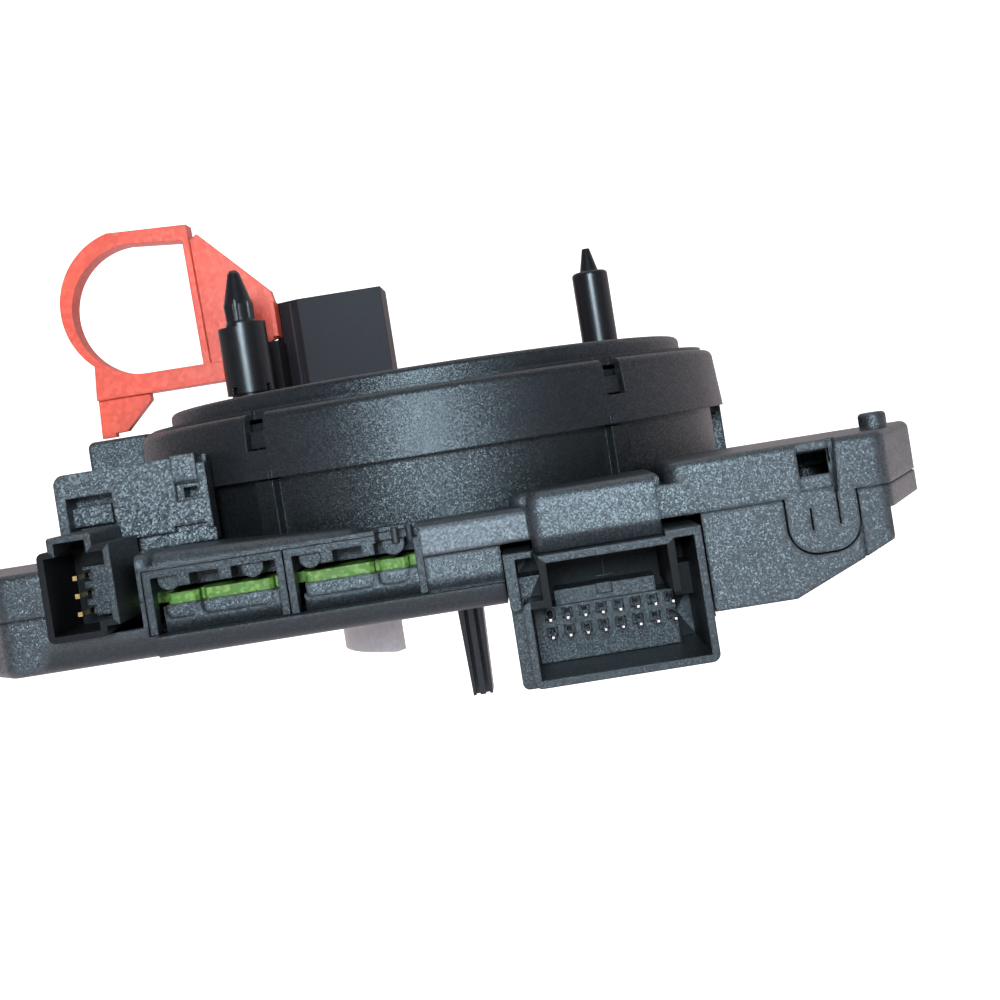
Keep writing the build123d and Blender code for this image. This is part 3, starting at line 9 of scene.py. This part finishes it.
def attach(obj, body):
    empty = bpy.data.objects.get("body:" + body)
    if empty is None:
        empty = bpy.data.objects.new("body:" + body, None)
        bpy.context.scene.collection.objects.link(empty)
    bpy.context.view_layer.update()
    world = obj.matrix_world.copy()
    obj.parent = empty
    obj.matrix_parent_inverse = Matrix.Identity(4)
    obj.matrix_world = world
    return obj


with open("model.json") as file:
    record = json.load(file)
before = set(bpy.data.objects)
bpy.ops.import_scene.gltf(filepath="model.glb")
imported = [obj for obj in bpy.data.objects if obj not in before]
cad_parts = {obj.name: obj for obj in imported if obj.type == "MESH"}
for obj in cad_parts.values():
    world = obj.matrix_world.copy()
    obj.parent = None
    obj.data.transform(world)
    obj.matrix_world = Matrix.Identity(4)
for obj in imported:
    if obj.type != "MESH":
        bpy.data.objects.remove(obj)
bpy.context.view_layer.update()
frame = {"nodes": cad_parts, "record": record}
nodes = frame["nodes"]
print("frame loaded:", len(nodes), "nodes")


def fillInput(tree, socket, value):
    # an input takes a plain value, or a link from another node's output
    if isinstance(value, bpy.types.NodeSocket):
        tree.links.new(value, socket)
    else:
        socket.default_value = value


def addNode(tree, kind, at, **inputs):
    # one shader node, with its inputs filled by name
    node = tree.nodes.new(kind)
    node.location = at
    for inputName, value in inputs.items():
        fillInput(tree, node.inputs[inputName.replace("_", " ")], value)
    return node


def addMaths(tree, kind, at, operation, *values):
    # one maths node, with its inputs filled in order
    node = addNode(tree, kind, at)
    node.operation = operation
    for socket, value in zip(node.inputs, values):
        fillInput(tree, socket, value)
    return node


def addRamp(tree, at, driver, *stops):
    # a ramp between two (position, colour) stops, driven by an output
    ramp = addNode(tree, "ShaderNodeValToRGB", at, Fac=driver)
    for point, (position, colour) in zip(ramp.color_ramp.elements, stops):
        point.position = position
        point.color = (*colour, 1)
    return ramp.outputs["Color"]


def addMix(tree, at, blend, factor, first, second):
    # a mix of two colours: sockets 6, 7 and 2 are the colour ones of this node
    node = addNode(tree, "ShaderNodeMix", at)
    node.data_type = "RGBA"
    node.blend_type = blend
    for index, value in ((0, factor), (6, first), (7, second)):
        fillInput(tree, node.inputs[index], value)
    return node.outputs[2]


def newMaterial(name):
    material = bpy.data.materials.new(name)
    material.use_nodes = True
    tree = material.node_tree
    shader = tree.nodes["Principled BSDF"]
    shader.location = (900, 0)
    return material, tree, shader


def grey(level):
    return (level, level, level)


mould = {  # what all the plastics share
    "grainDetail": 3.0,
    "grainRoughness": 0.6,
    "patchDetail": 3.0,
    "patchRoughness": 0.5,
    "patchFrom": 0.3,
    "patchTo": 0.7,
    "edgeSamples": 3,
    "rubFrom": 0.9,
    "rubTo": 0.995,
    "pitDepth": 0.3,  # as a share of the grain's size
    "rollFade": 0.002,
    "glowScale": 0.002,
    "ior": 1.5,
}


def rolledNormal(tree, place, normal, look):
    # leans a normal down, more and more towards the housing's foot, between two ends along X
    axes = addNode(tree, "ShaderNodeSeparateXYZ", (-1500, -900), Vector=place)
    low = addNode(tree, "ShaderNodeMapRange", (-1300, -900), Value=axes.outputs["Z"])
    low.inputs["From Min"].default_value = look["rollFrom"]
    low.inputs["From Max"].default_value = look["rollTo"]
    low.inputs["To Max"].default_value = -look["rollLean"]
    weight = low.outputs["Result"]
    for side, end, fade in ((1, "rollLeft", mould["rollFade"]), (2, "rollRight", -mould["rollFade"])):
        within = addNode(tree, "ShaderNodeMapRange", (-1300, -900 - 250 * side), Value=axes.outputs["X"])
        within.inputs["From Min"].default_value = look[end]
        within.inputs["From Max"].default_value = look[end] + fade
        product = addMaths(tree, "ShaderNodeMath", (-1100 + 150 * side, -1000), "MULTIPLY", weight)
        fillInput(tree, product.inputs[1], within.outputs["Result"])
        weight = product.outputs["Value"]
    down = addNode(tree, "ShaderNodeCombineXYZ", (-600, -1000), Z=weight)
    rolled = addMaths(tree, "ShaderNodeVectorMath", (0, -700), "ADD", normal, down.outputs["Vector"])
    return rolled.outputs["Vector"]


# Spark-eroded plastic: dark ground, tiny tilted facets that sparkle, pitted relief, rubbed edges
def mouldedPlastic(name, look):
    material, tree, shader = newMaterial(name)
    place = addNode(tree, "ShaderNodeTexCoord", (-1500, 0)).outputs["Object"]
    grain = addNode(tree, "ShaderNodeTexNoise", (-1200, 300), Vector=place, Scale=1 / look["grainSize"])
    grain.inputs["Detail"].default_value = mould["grainDetail"]
    grain.inputs["Roughness"].default_value = mould["grainRoughness"]
    crystals = addNode(tree, "ShaderNodeTexVoronoi", (-1200, 0), Vector=place, Scale=1 / look["fleckSize"])
    patches = addNode(tree, "ShaderNodeTexNoise", (-1200, -300), Vector=place, Scale=look["patchScale"])
    patches.inputs["Detail"].default_value = mould["patchDetail"]
    patches.inputs["Roughness"].default_value = mould["patchRoughness"]
    crystal = crystals.outputs["Color"]
    patch = patches.outputs["Fac"]

    ground = (look["fleckFrom"], look["ground"])
    fleck = (look["fleckTo"], look["fleck"])
    flecks = addRamp(tree, (-900, 0), crystal, ground, fleck)
    dim = (mould["patchFrom"], grey(look["cloud"]))
    cloud = addRamp(tree, (-900, -300), patch, dim, (mould["patchTo"], grey(1)))
    mottled = addMix(tree, (-600, 100), "MULTIPLY", 1.0, flecks, cloud)

    # how far the rounded normal leaves the flat one marks where hands and tools rub
    edge = addNode(tree, "ShaderNodeBevel", (-900, -600), Radius=look["edge"])
    edge.samples = mould["edgeSamples"]
    rounded = edge.outputs["Normal"]
    flat = addNode(tree, "ShaderNodeNewGeometry", (-900, -800)).outputs["Normal"]
    lean = addMaths(tree, "ShaderNodeVectorMath", (-700, -700), "DOT_PRODUCT", rounded, flat)
    rubbed = (mould["rubFrom"], grey(look["wear"]))
    rub = addRamp(tree, (-500, -700), lean.outputs["Value"], rubbed, (mould["rubTo"], grey(0)))
    colour = addMix(tree, (-250, 100), "MIX", rub, mottled, (*look["worn"], 1))

    shine = addNode(tree, "ShaderNodeMapRange", (-600, -300), Value=patch)
    shine.inputs["From Min"].default_value = mould["patchFrom"]
    shine.inputs["From Max"].default_value = mould["patchTo"]
    shine.inputs["To Min"].default_value = look["roughness"] - look["roughnessPlay"]
    shine.inputs["To Max"].default_value = look["roughness"] + look["roughnessPlay"]

    # every crystal leans its own way
    tilt = addMaths(tree, "ShaderNodeVectorMath", (-600, -500), "SUBTRACT", crystal, grey(0.5))
    spread = addMaths(tree, "ShaderNodeVectorMath", (-400, -500), "MULTIPLY", tilt.outputs["Vector"])
    spread.inputs[1].default_value = grey(look["facets"])
    leaning = addMaths(tree, "ShaderNodeVectorMath", (-200, -500), "ADD", rounded, spread.outputs["Vector"])
    normal = leaning.outputs["Vector"]
    if "rollFrom" in look:
        normal = rolledNormal(tree, place, normal, look)
    unit = addMaths(tree, "ShaderNodeVectorMath", (200, -500), "NORMALIZE", normal).outputs["Vector"]
    pits = addNode(tree, "ShaderNodeBump", (400, -300), Height=grain.outputs["Fac"], Normal=unit)
    pits.inputs["Strength"].default_value = look["relief"]
    pits.inputs["Distance"].default_value = look["grainSize"] * mould["pitDepth"]

    fillInput(tree, shader.inputs["Base Color"], colour)
    fillInput(tree, shader.inputs["Roughness"], shine.outputs["Result"])
    fillInput(tree, shader.inputs["Normal"], pits.outputs["Normal"])
    shader.inputs["Specular IOR Level"].default_value = look["specular"]
    shader.inputs["Specular Tint"].default_value = (*look["tint"], 1)
    shader.inputs["IOR"].default_value = mould["ior"]
    if "glow" in look:
        shader.inputs["Subsurface Weight"].default_value = look["glow"]
        shader.inputs["Subsurface Radius"].default_value = look["glowDepth"]
        shader.inputs["Subsurface Scale"].default_value = mould["glowScale"]
    return material


# Metal with a fine uneven tone
def plainMetal(name, look):
    material, tree, shader = newMaterial(name)
    place = addNode(tree, "ShaderNodeTexCoord", (-900, 0)).outputs["Object"]
    streaks = addNode(tree, "ShaderNodeTexNoise", (-650, 0), Vector=place, Scale=look["streak"], Detail=2.0)
    streak = streaks.outputs["Fac"]
    tone = addRamp(tree, (-350, 100), streak, (0.3, look["dark"]), (0.7, look["light"]))
    relief = addNode(tree, "ShaderNodeBump", (200, -300), Height=streak, Strength=0.1, Distance=0.00005)
    fillInput(tree, shader.inputs["Base Color"], tone)
    fillInput(tree, shader.inputs["Normal"], relief.outputs["Normal"])
    shader.inputs["Metallic"].default_value = 1.0
    shader.inputs["Roughness"].default_value = look["roughness"]
    return material


grainedBlack = {  # the look that the other plastics start from
    "ground": (0.013, 0.014, 0.016),
    "fleck": (0.03, 0.037, 0.045),
    "fleckFrom": 0.45,
    "fleckTo": 0.75,
    "fleckSize": 0.00019,
    "grainSize": 0.0002,
    "patchScale": 60.0,
    "cloud": 0.8,
    "relief": 0.25,
    "facets": 0.3,
    "roughness": 0.42,
    "roughnessPlay": 0.03,
    "specular": 0.85,
    "tint": (0.72, 0.9, 1.0),
    "edge": 0.0003,
    "wear": 0.25,
    "worn": (0.045, 0.043, 0.045),
}
coverBlack = dict(grainedBlack, edge=0.0008)
housingBlack = dict(
    coverBlack,
    rollFrom=0.0048,
    rollTo=-0.0008,
    rollLean=2.4,
    rollLeft=-0.057,
    rollRight=0.0135,
)
coarseBlack = dict(grainedBlack, fleckSize=0.00024, facets=0.4, roughness=0.47, specular=1.0, edge=0.0005)
# Painted sheen: a paler copy of the coarse black that stands in for the flash's sheen on the block beside
# the header
paintedSheenBlack = dict(coarseBlack, ground=(0.05, 0.059, 0.068), fleck=(0.095, 0.11, 0.125))
satinBlack = dict(
    grainedBlack,
    ground=(0.008, 0.0085, 0.01),
    fleck=(0.018, 0.021, 0.026),
    fleckSize=0.00016,
    grainSize=0.00018,
    facets=0.25,
    roughness=0.39,
    specular=0.48,
)
shellBlack = dict(
    satinBlack,
    ground=(0.004, 0.0045, 0.005),
    fleck=(0.01, 0.012, 0.014),
    facets=0.3,
    specular=0.5,
)
smoothBlack = dict(
    satinBlack,
    ground=(0.024, 0.021, 0.025),
    fleck=(0.028, 0.025, 0.029),
    relief=0.04,
    facets=0.015,
    roughness=0.45,
    specular=0.1,
)
coreBlack = dict(
    smoothBlack,
    ground=(0.009, 0.0095, 0.0105),
    fleck=(0.012, 0.013, 0.014),
    relief=0.1,
    facets=0.05,
    roughness=0.4,
)
# Painted highlight: a pale copy of the smooth black for the glint strips, over a rubbed edge
rubbedPaintedGlintBlack = dict(
    smoothBlack,
    ground=(0.16, 0.18, 0.2),
    fleck=(0.3, 0.34, 0.38),
    fleckSize=0.0006,
    specular=0.9,
)
connectorBlack = dict(
    grainedBlack,
    fleck=(0.025, 0.031, 0.036),
    fleckSize=0.00015,
    facets=0.28,
    specular=0.5,
)
glossBlack = dict(
    grainedBlack,
    ground=(0.008, 0.008, 0.01),
    fleck=(0.012, 0.012, 0.014),
    grainSize=0.0012,
    relief=0.05,
    facets=0.01,
    roughness=0.29,
    specular=0.4,
    tint=(0.8, 0.93, 1.0),
    edge=0.0004,
)
chipBlack = dict(connectorBlack, grainSize=0.0001)
redPlastic = dict(
    grainedBlack,
    ground=(0.74, 0.08, 0.04),
    fleck=(0.82, 0.11, 0.06),
    fleckSize=0.0009,
    grainSize=0.0009,
    relief=0.12,
    facets=0.04,
    specular=0.45,
    tint=(1, 1, 1),
    edge=0.0004,
    wear=0.3,
    worn=(0.85, 0.2, 0.14),
    glow=0.35,
    glowDepth=(1.0, 0.25, 0.12),
)
whitePlastic = dict(
    redPlastic,
    ground=(0.42, 0.43, 0.45),
    fleck=(0.47, 0.48, 0.5),
    relief=0.05,
    facets=0.0,
    roughness=0.4,
    worn=(0.36, 0.36, 0.37),
    glowDepth=(1.0, 0.9, 0.8),
)
ribbonFilm = dict(
    redPlastic,
    ground=(0.55, 0.25, 0.06),
    fleck=(0.7, 0.36, 0.1),
    roughness=0.25,
    glow=0.1,
)
boardGreen = dict(
    grainedBlack,
    ground=(0.06, 0.18, 0.02),
    fleck=(0.16, 0.31, 0.06),
    fleckSize=0.0005,
    relief=0.3,
    facets=0.1,
    roughness=0.5,
    specular=0.4,
    tint=(1, 1, 1),
    worn=(0.3, 0.42, 0.22),
)
tinnedPins = {"dark": (0.5, 0.5, 0.5), "light": (0.85, 0.85, 0.84), "streak": 900.0, "roughness": 0.22}
brassPins = {"dark": (0.5, 0.38, 0.16), "light": (0.85, 0.66, 0.3), "streak": 900.0, "roughness": 0.25}
screwSteel = {"dark": (0.4, 0.4, 0.42), "light": (0.7, 0.7, 0.72), "streak": 1500.0, "roughness": 0.35}
magnetSteel = {"dark": (0.5, 0.5, 0.52), "light": (0.8, 0.8, 0.82), "streak": 1500.0, "roughness": 0.3}

finishes = {
    "grained_black": mouldedPlastic("coverBlack", coverBlack),  # up to magnet_steel by material slot
    "satin_black": mouldedPlastic("shellBlack", shellBlack),
    "connector_black": mouldedPlastic("connectorBlack", connectorBlack),
    "gloss_black": mouldedPlastic("glossBlack", glossBlack),
    "red_plastic": mouldedPlastic("redPlastic", redPlastic),
    "white_plastic": mouldedPlastic("whitePlastic", whitePlastic),
    "board_green": mouldedPlastic("boardGreen", boardGreen),
    "chip_black": mouldedPlastic("chipBlack", chipBlack),
    "ribbon_film": mouldedPlastic("ribbonFilm", ribbonFilm),
    "tinned_pins": plainMetal("tinnedPins", tinnedPins),
    "brass_pins": plainMetal("brassPins", brassPins),
    "screw_steel": plainMetal("screwSteel", screwSteel),
    "magnet_steel": plainMetal("magnetSteel", magnetSteel),
    "housing": mouldedPlastic("housingBlack", housingBlack),  # from here on by piece and place
    "coarse": mouldedPlastic("coarseBlack", coarseBlack),
    # painted sheen for the block beside the header
    "paintedSheen": mouldedPlastic("paintedSheenBlack", paintedSheenBlack),
    "satin": mouldedPlastic("satinBlack", satinBlack),
    "smooth": mouldedPlastic("smoothBlack", smoothBlack),
    "core": mouldedPlastic("coreBlack", coreBlack),
    # painted highlight for the glint strips at the clip recesses
    "rubbed": mouldedPlastic("rubbedPaintedGlintBlack", rubbedPaintedGlintBlack),
}
pieceFinishes = {  # pieces whose finish isn't the one of their slot
    "base_housing": "housing",
    "terminal_box": "coarse",
    "lock_rest": "coarse",
    "drum_cover": "satin",
    "rotor_disc": "satin",
}
placeFinishes = [  # piece, finish, and the box in metres that holds the centres of the faces that have it
    ("top_cover", "paintedSheen", (-0.0008, -0.0575, 0.0042), (0.0135, -0.0535, 0.0125)),  # block beside the header: painted sheen on a paler copy of the coarse black
    ("rotor_disc", "smooth", (-1, -1, 0.03605), (1, 1, 1)),  # tower and all that stands on the disc
    ("header_shroud", "core", (0.0137, -0.0636, -0.0099), (0.0363, 0, 0.0052)),  # inside of the header
    ("small_socket", "core", (-0.0535, -0.0615, 0.0042), (-0.0442, 0, 0.0172)),  # inside of the small socket
]

for subpart in frame["record"]["subparts"]:
    mesh = nodes[subpart["node"]].data
    mesh.materials.clear()
    mesh.materials.append(finishes[pieceFinishes.get(subpart["node"], subpart["material_slot"])])
for nodeName, finish, low, high in placeFinishes:
    mesh = nodes[nodeName].data
    mesh.materials.append(finishes[finish])
    for face in mesh.polygons:
        if all(low[axis] < face.center[axis] < high[axis] for axis in range(3)):
            face.material_index = len(mesh.materials) - 1
print("finishes set:", len(finishes))


def newPiece(name, mesh):
    mesh.shade_smooth()
    piece = bpy.data.objects.new(name, mesh)
    bpy.context.collection.objects.link(piece)
    return piece


def platePiece(name, low, high, edge, turnDegrees=0):
    # a small plate or bar with softened edges, between two corners, turned about the upright axis
    shape = bmesh.new()
    bmesh.ops.create_cube(shape, size=1.0)
    for vertex in shape.verts:
        vertex.co = [low[axis] + (vertex.co[axis] + 0.5) * (high[axis] - low[axis]) for axis in range(3)]
    bmesh.ops.bevel(shape, geom=shape.edges[:], offset=edge, segments=3, profile=0.5, affect="EDGES")
    mesh = bpy.data.meshes.new(name)
    shape.to_mesh(mesh)
    shape.free()
    mesh.transform(Matrix.Rotation(math.radians(turnDegrees), 4, "Z"))
    return newPiece(name, mesh)


def ringPiece(name, centre, radius, tube, steps=40, around=8):
    # a fine round bead standing on a wall that faces the front
    points, faces = [], []
    for step in range(steps):
        turn = 2 * math.pi * step / steps
        first, following = step * around, (step + 1) % steps * around
        for part in range(around):
            bend = 2 * math.pi * part / around
            reach = radius + tube * math.cos(bend)
            x = centre[0] + reach * math.cos(turn)
            z = centre[2] + reach * math.sin(turn)
            points.append((x, centre[1] + tube * math.sin(bend), z))
            beside = (part + 1) % around
            faces.append((first + part, first + beside, following + beside, following + part))
    mesh = bpy.data.meshes.new(name)
    mesh.from_pydata(points, [], faces)
    return newPiece(name, mesh)


def finishPiece(piece, finish):
    # all the small pieces here stay with the housing
    piece.data.materials.append(finishes[finish])
    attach(piece, "housing")


# Upright ribs between the deck and the cover's foot, one of them seen past the drum's right side
drumRibs = {
    "angles": (90, 150, 210, 270),
    "innerRadius": 0.0496,
    "outerRadius": 0.0526,
    "thickness": 0.0016,
    "bottom": 0.0129,
    "top": 0.0227,
    "edge": 0.0003,
}
half = drumRibs["thickness"] / 2
low = (-half, -drumRibs["outerRadius"], drumRibs["bottom"])
high = (half, -drumRibs["innerRadius"], drumRibs["top"])
for angle in drumRibs["angles"]:
    rib = platePiece("drumRib" + str(angle), low, high, drumRibs["edge"], angle)
    finishPiece(rib, "coarse")

# Rubbed corners of the clip recesses: thin strips on the drum shell whose pale colour paints fine upright
# glints
clipGlints = {
    "firstDegrees": -27.2,
    "stepDegrees": 63.5,
    "count": 6,
    "radius": 0.05035,
    "bottom": 0.0149,
    "top": 0.0226,
    "halfWidth": 0.00012,
    "edgeShare": 0.8,
}
half = clipGlints["halfWidth"]
low = (-half, -clipGlints["radius"] - half, clipGlints["bottom"])
high = (half, -clipGlints["radius"] + half, clipGlints["top"])
for number in range(clipGlints["count"]):
    angle = clipGlints["firstDegrees"] + number * clipGlints["stepDegrees"]
    glint = platePiece("clipGlint" + str(number + 1), low, high, half * clipGlints["edgeShare"], angle)
    finishPiece(glint, "rubbed")

# Marks of the mould on the header's back wall: two ejector rings and an upturned T
headerMarks = {
    "wallY": -0.05095,
    "ringPlaces": ((0.0189, 0.002), (0.0294, 0.002)),
    "ringRadius": 0.0011,
    "bead": 0.00007,
    "edgeShare": 0.6,
    "stemX": 0.0245,
    "stemZ": (0.0011, 0.0037),
    "footX": (0.0233, 0.0260),
}
wallY = headerMarks["wallY"]
bead = headerMarks["bead"]
for number, (x, z) in enumerate(headerMarks["ringPlaces"]):
    mark = ringPiece("ejectorMark" + str(number + 1), (x, wallY, z), headerMarks["ringRadius"], bead)
    finishPiece(mark, "core")
stemX = headerMarks["stemX"]
lowZ, highZ = headerMarks["stemZ"]
leftX, rightX = headerMarks["footX"]
for name, low, high in (
    ("mouldMarkStem", (stemX - bead, wallY - bead, lowZ), (stemX + bead, wallY + bead, highZ)),
    ("mouldMarkFoot", (leftX, wallY - bead, lowZ - bead), (rightX, wallY + bead, lowZ + bead)),
):
    mark = platePiece(name, low, high, bead * headerMarks["edgeShare"])
    finishPiece(mark, "connector_black")
print("ribs and mould marks made")

# Pale studio: a white bowl is all that is seen. Behind it, light comes from the floor, the back and
# the right, less from the left and none from the front. Degrees run from the front, to the right
studio = {
    "floorZ": -0.06,
    "floorGap": 0.001,  # the floor that lights stands above the one that is seen, which would shade it
    "floorRadius": 1.1,
    "curve": 0.5,
    "curveSteps": 12,
    "stepDegrees": 6,
    "wallTop": 2.2,
    "openLeft": -78,
    "openRight": 78,
    "shadeEnd": -130,
    "paper": (0.3, 0.3, 0.3),
    "paperRoughness": 0.9,
    "paperSpecular": 0.1,
    "white": (1, 1, 1),
    "glow": (1.0, 0.87, 0.9),
    "seenStrength": 1.3,
    "floorStrength": 0.95,
    "wallStrength": 0.6,
    "shadeStrength": 0.25,
    "roomColour": (0.96, 0.97, 1.0),
    "roomStrength": 0.12,
}


def bowlPiece(name, fromDegrees, toDegrees, profile):
    # one sector of the bowl, turned about the upright axis
    steps = max(2, int((toDegrees - fromDegrees) / studio["stepDegrees"]))
    points, faces = [], []
    for step in range(steps + 1):
        turn = math.radians(fromDegrees + (toDegrees - fromDegrees) * step / steps)
        points += [(radius * math.sin(turn), -radius * math.cos(turn), z) for radius, z in profile]
    count = len(profile)
    for step in range(steps):
        for here in range(step * count, step * count + count - 1):
            faces.append((here, here + count, here + count + 1, here + 1))
    mesh = bpy.data.meshes.new(name)
    mesh.from_pydata(points, [], faces)
    return newPiece(name, mesh)


floorProfile = [(0.0, studio["floorZ"]), (studio["floorRadius"], studio["floorZ"])]
raisedProfile = [(radius, z + studio["floorGap"]) for radius, z in floorProfile]
wallProfile = []
for step in range(studio["curveSteps"] + 1):
    bend = math.radians(90) * step / studio["curveSteps"]
    radius = studio["floorRadius"] + studio["curve"] * math.sin(bend)
    wallProfile.append((radius, studio["floorZ"] + studio["curve"] * (1 - math.cos(bend))))
wallProfile.append((studio["floorRadius"] + studio["curve"], studio["wallTop"]))

for name, fromDegrees, toDegrees, profile, strength, seen in (
    ("studioFloor", -180, 180, floorProfile, "seenStrength", True),
    ("studioWall", -180, 180, wallProfile, "seenStrength", True),
    ("studioLightFloor", -180, 180, raisedProfile, "floorStrength", False),
    ("studioLightWall", studio["openRight"], 360 + studio["shadeEnd"], wallProfile, "wallStrength", False),
    ("studioShadeWall", studio["shadeEnd"], studio["openLeft"], wallProfile, "shadeStrength", False),
):
    piece = bowlPiece(name, fromDegrees, toDegrees, profile)
    paper, tree, shader = newMaterial(name + "Paper")
    shader.inputs["Base Color"].default_value = (*studio["paper"], 1)
    shader.inputs["Roughness"].default_value = studio["paperRoughness"]
    shader.inputs["Specular IOR Level"].default_value = studio["paperSpecular"]
    shader.inputs["Emission Color"].default_value = (*studio["white" if seen else "glow"], 1)
    shader.inputs["Emission Strength"].default_value = studio[strength]
    piece.data.materials.append(paper)
    piece.visible_camera = seen
    piece.visible_diffuse = not seen
    piece.visible_glossy = not seen

softboxes = {
    "flash": {
        "at": (0.0, -0.6, 0.15),
        "aim": (0.01, -0.03, 0.015),
        "size": (0.16, 0.12),
        "watts": 4.3,
        "colour": (0.88, 0.95, 1.0),
    },
    "overhead": {
        "at": (0.0, 0.1, 0.8),
        "aim": (0, 0, 0.02),
        "size": (0.7, 0.7),
        "watts": 2.0,
        "colour": (1.0, 0.97, 0.95),
    },
}
for name, box in softboxes.items():
    light = bpy.data.lights.new(name, "AREA")
    light.shape = "RECTANGLE"
    light.size, light.size_y = box["size"]
    light.energy = box["watts"]
    light.color = box["colour"]
    lamp = bpy.data.objects.new(name, light)
    lamp.location = box["at"]
    lamp.rotation_euler = (Vector(box["aim"]) - Vector(box["at"])).to_track_quat("-Z", "Y").to_euler()
    bpy.context.collection.objects.link(lamp)

world = bpy.data.worlds.new("paleStudio")
bpy.context.scene.world = world
world.use_nodes = True
background = world.node_tree.nodes["Background"]
background.inputs["Color"].default_value = (*studio["roomColour"], 1)
background.inputs["Strength"].default_value = studio["roomStrength"]

# Camera: level, square to the connectors, rolled by nine degrees as the photograph shows it
lens = {
    "at": (0.0166, -0.241, 0.0249),
    "rollDegrees": 9.0,
    "sensorWidth": 36.0,
    "framePixels": 1000.0,
    "focalPixels": 1300.0,
    "vanishingX": 525.4,  # pixel that the camera looks straight at, from the frame's left and top
    "vanishingY": 422.3,
    "clipStart": 0.01,
}
camera = bpy.data.cameras.new("photoCamera")
camera.sensor_width = lens["sensorWidth"]
camera.lens = lens["sensorWidth"] * lens["focalPixels"] / lens["framePixels"]
camera.shift_x = 0.5 - lens["vanishingX"] / lens["framePixels"]
camera.shift_y = lens["vanishingY"] / lens["framePixels"] - 0.5
camera.clip_start = lens["clipStart"]
cameraObject = bpy.data.objects.new("photoCamera", camera)
bpy.context.collection.objects.link(cameraObject)
roll = math.radians(lens["rollDegrees"])
right = Vector((math.cos(roll), 0, -math.sin(roll)))
up = Vector((math.sin(roll), 0, math.cos(roll)))
back = Vector((0, -1, 0))
cameraObject.matrix_world = Matrix.Translation(lens["at"]) @ Matrix((right, up, back)).transposed().to_4x4()
bpy.context.scene.camera = cameraObject
bpy.context.scene.view_settings.view_transform = "Standard"
print("studio and camera set")
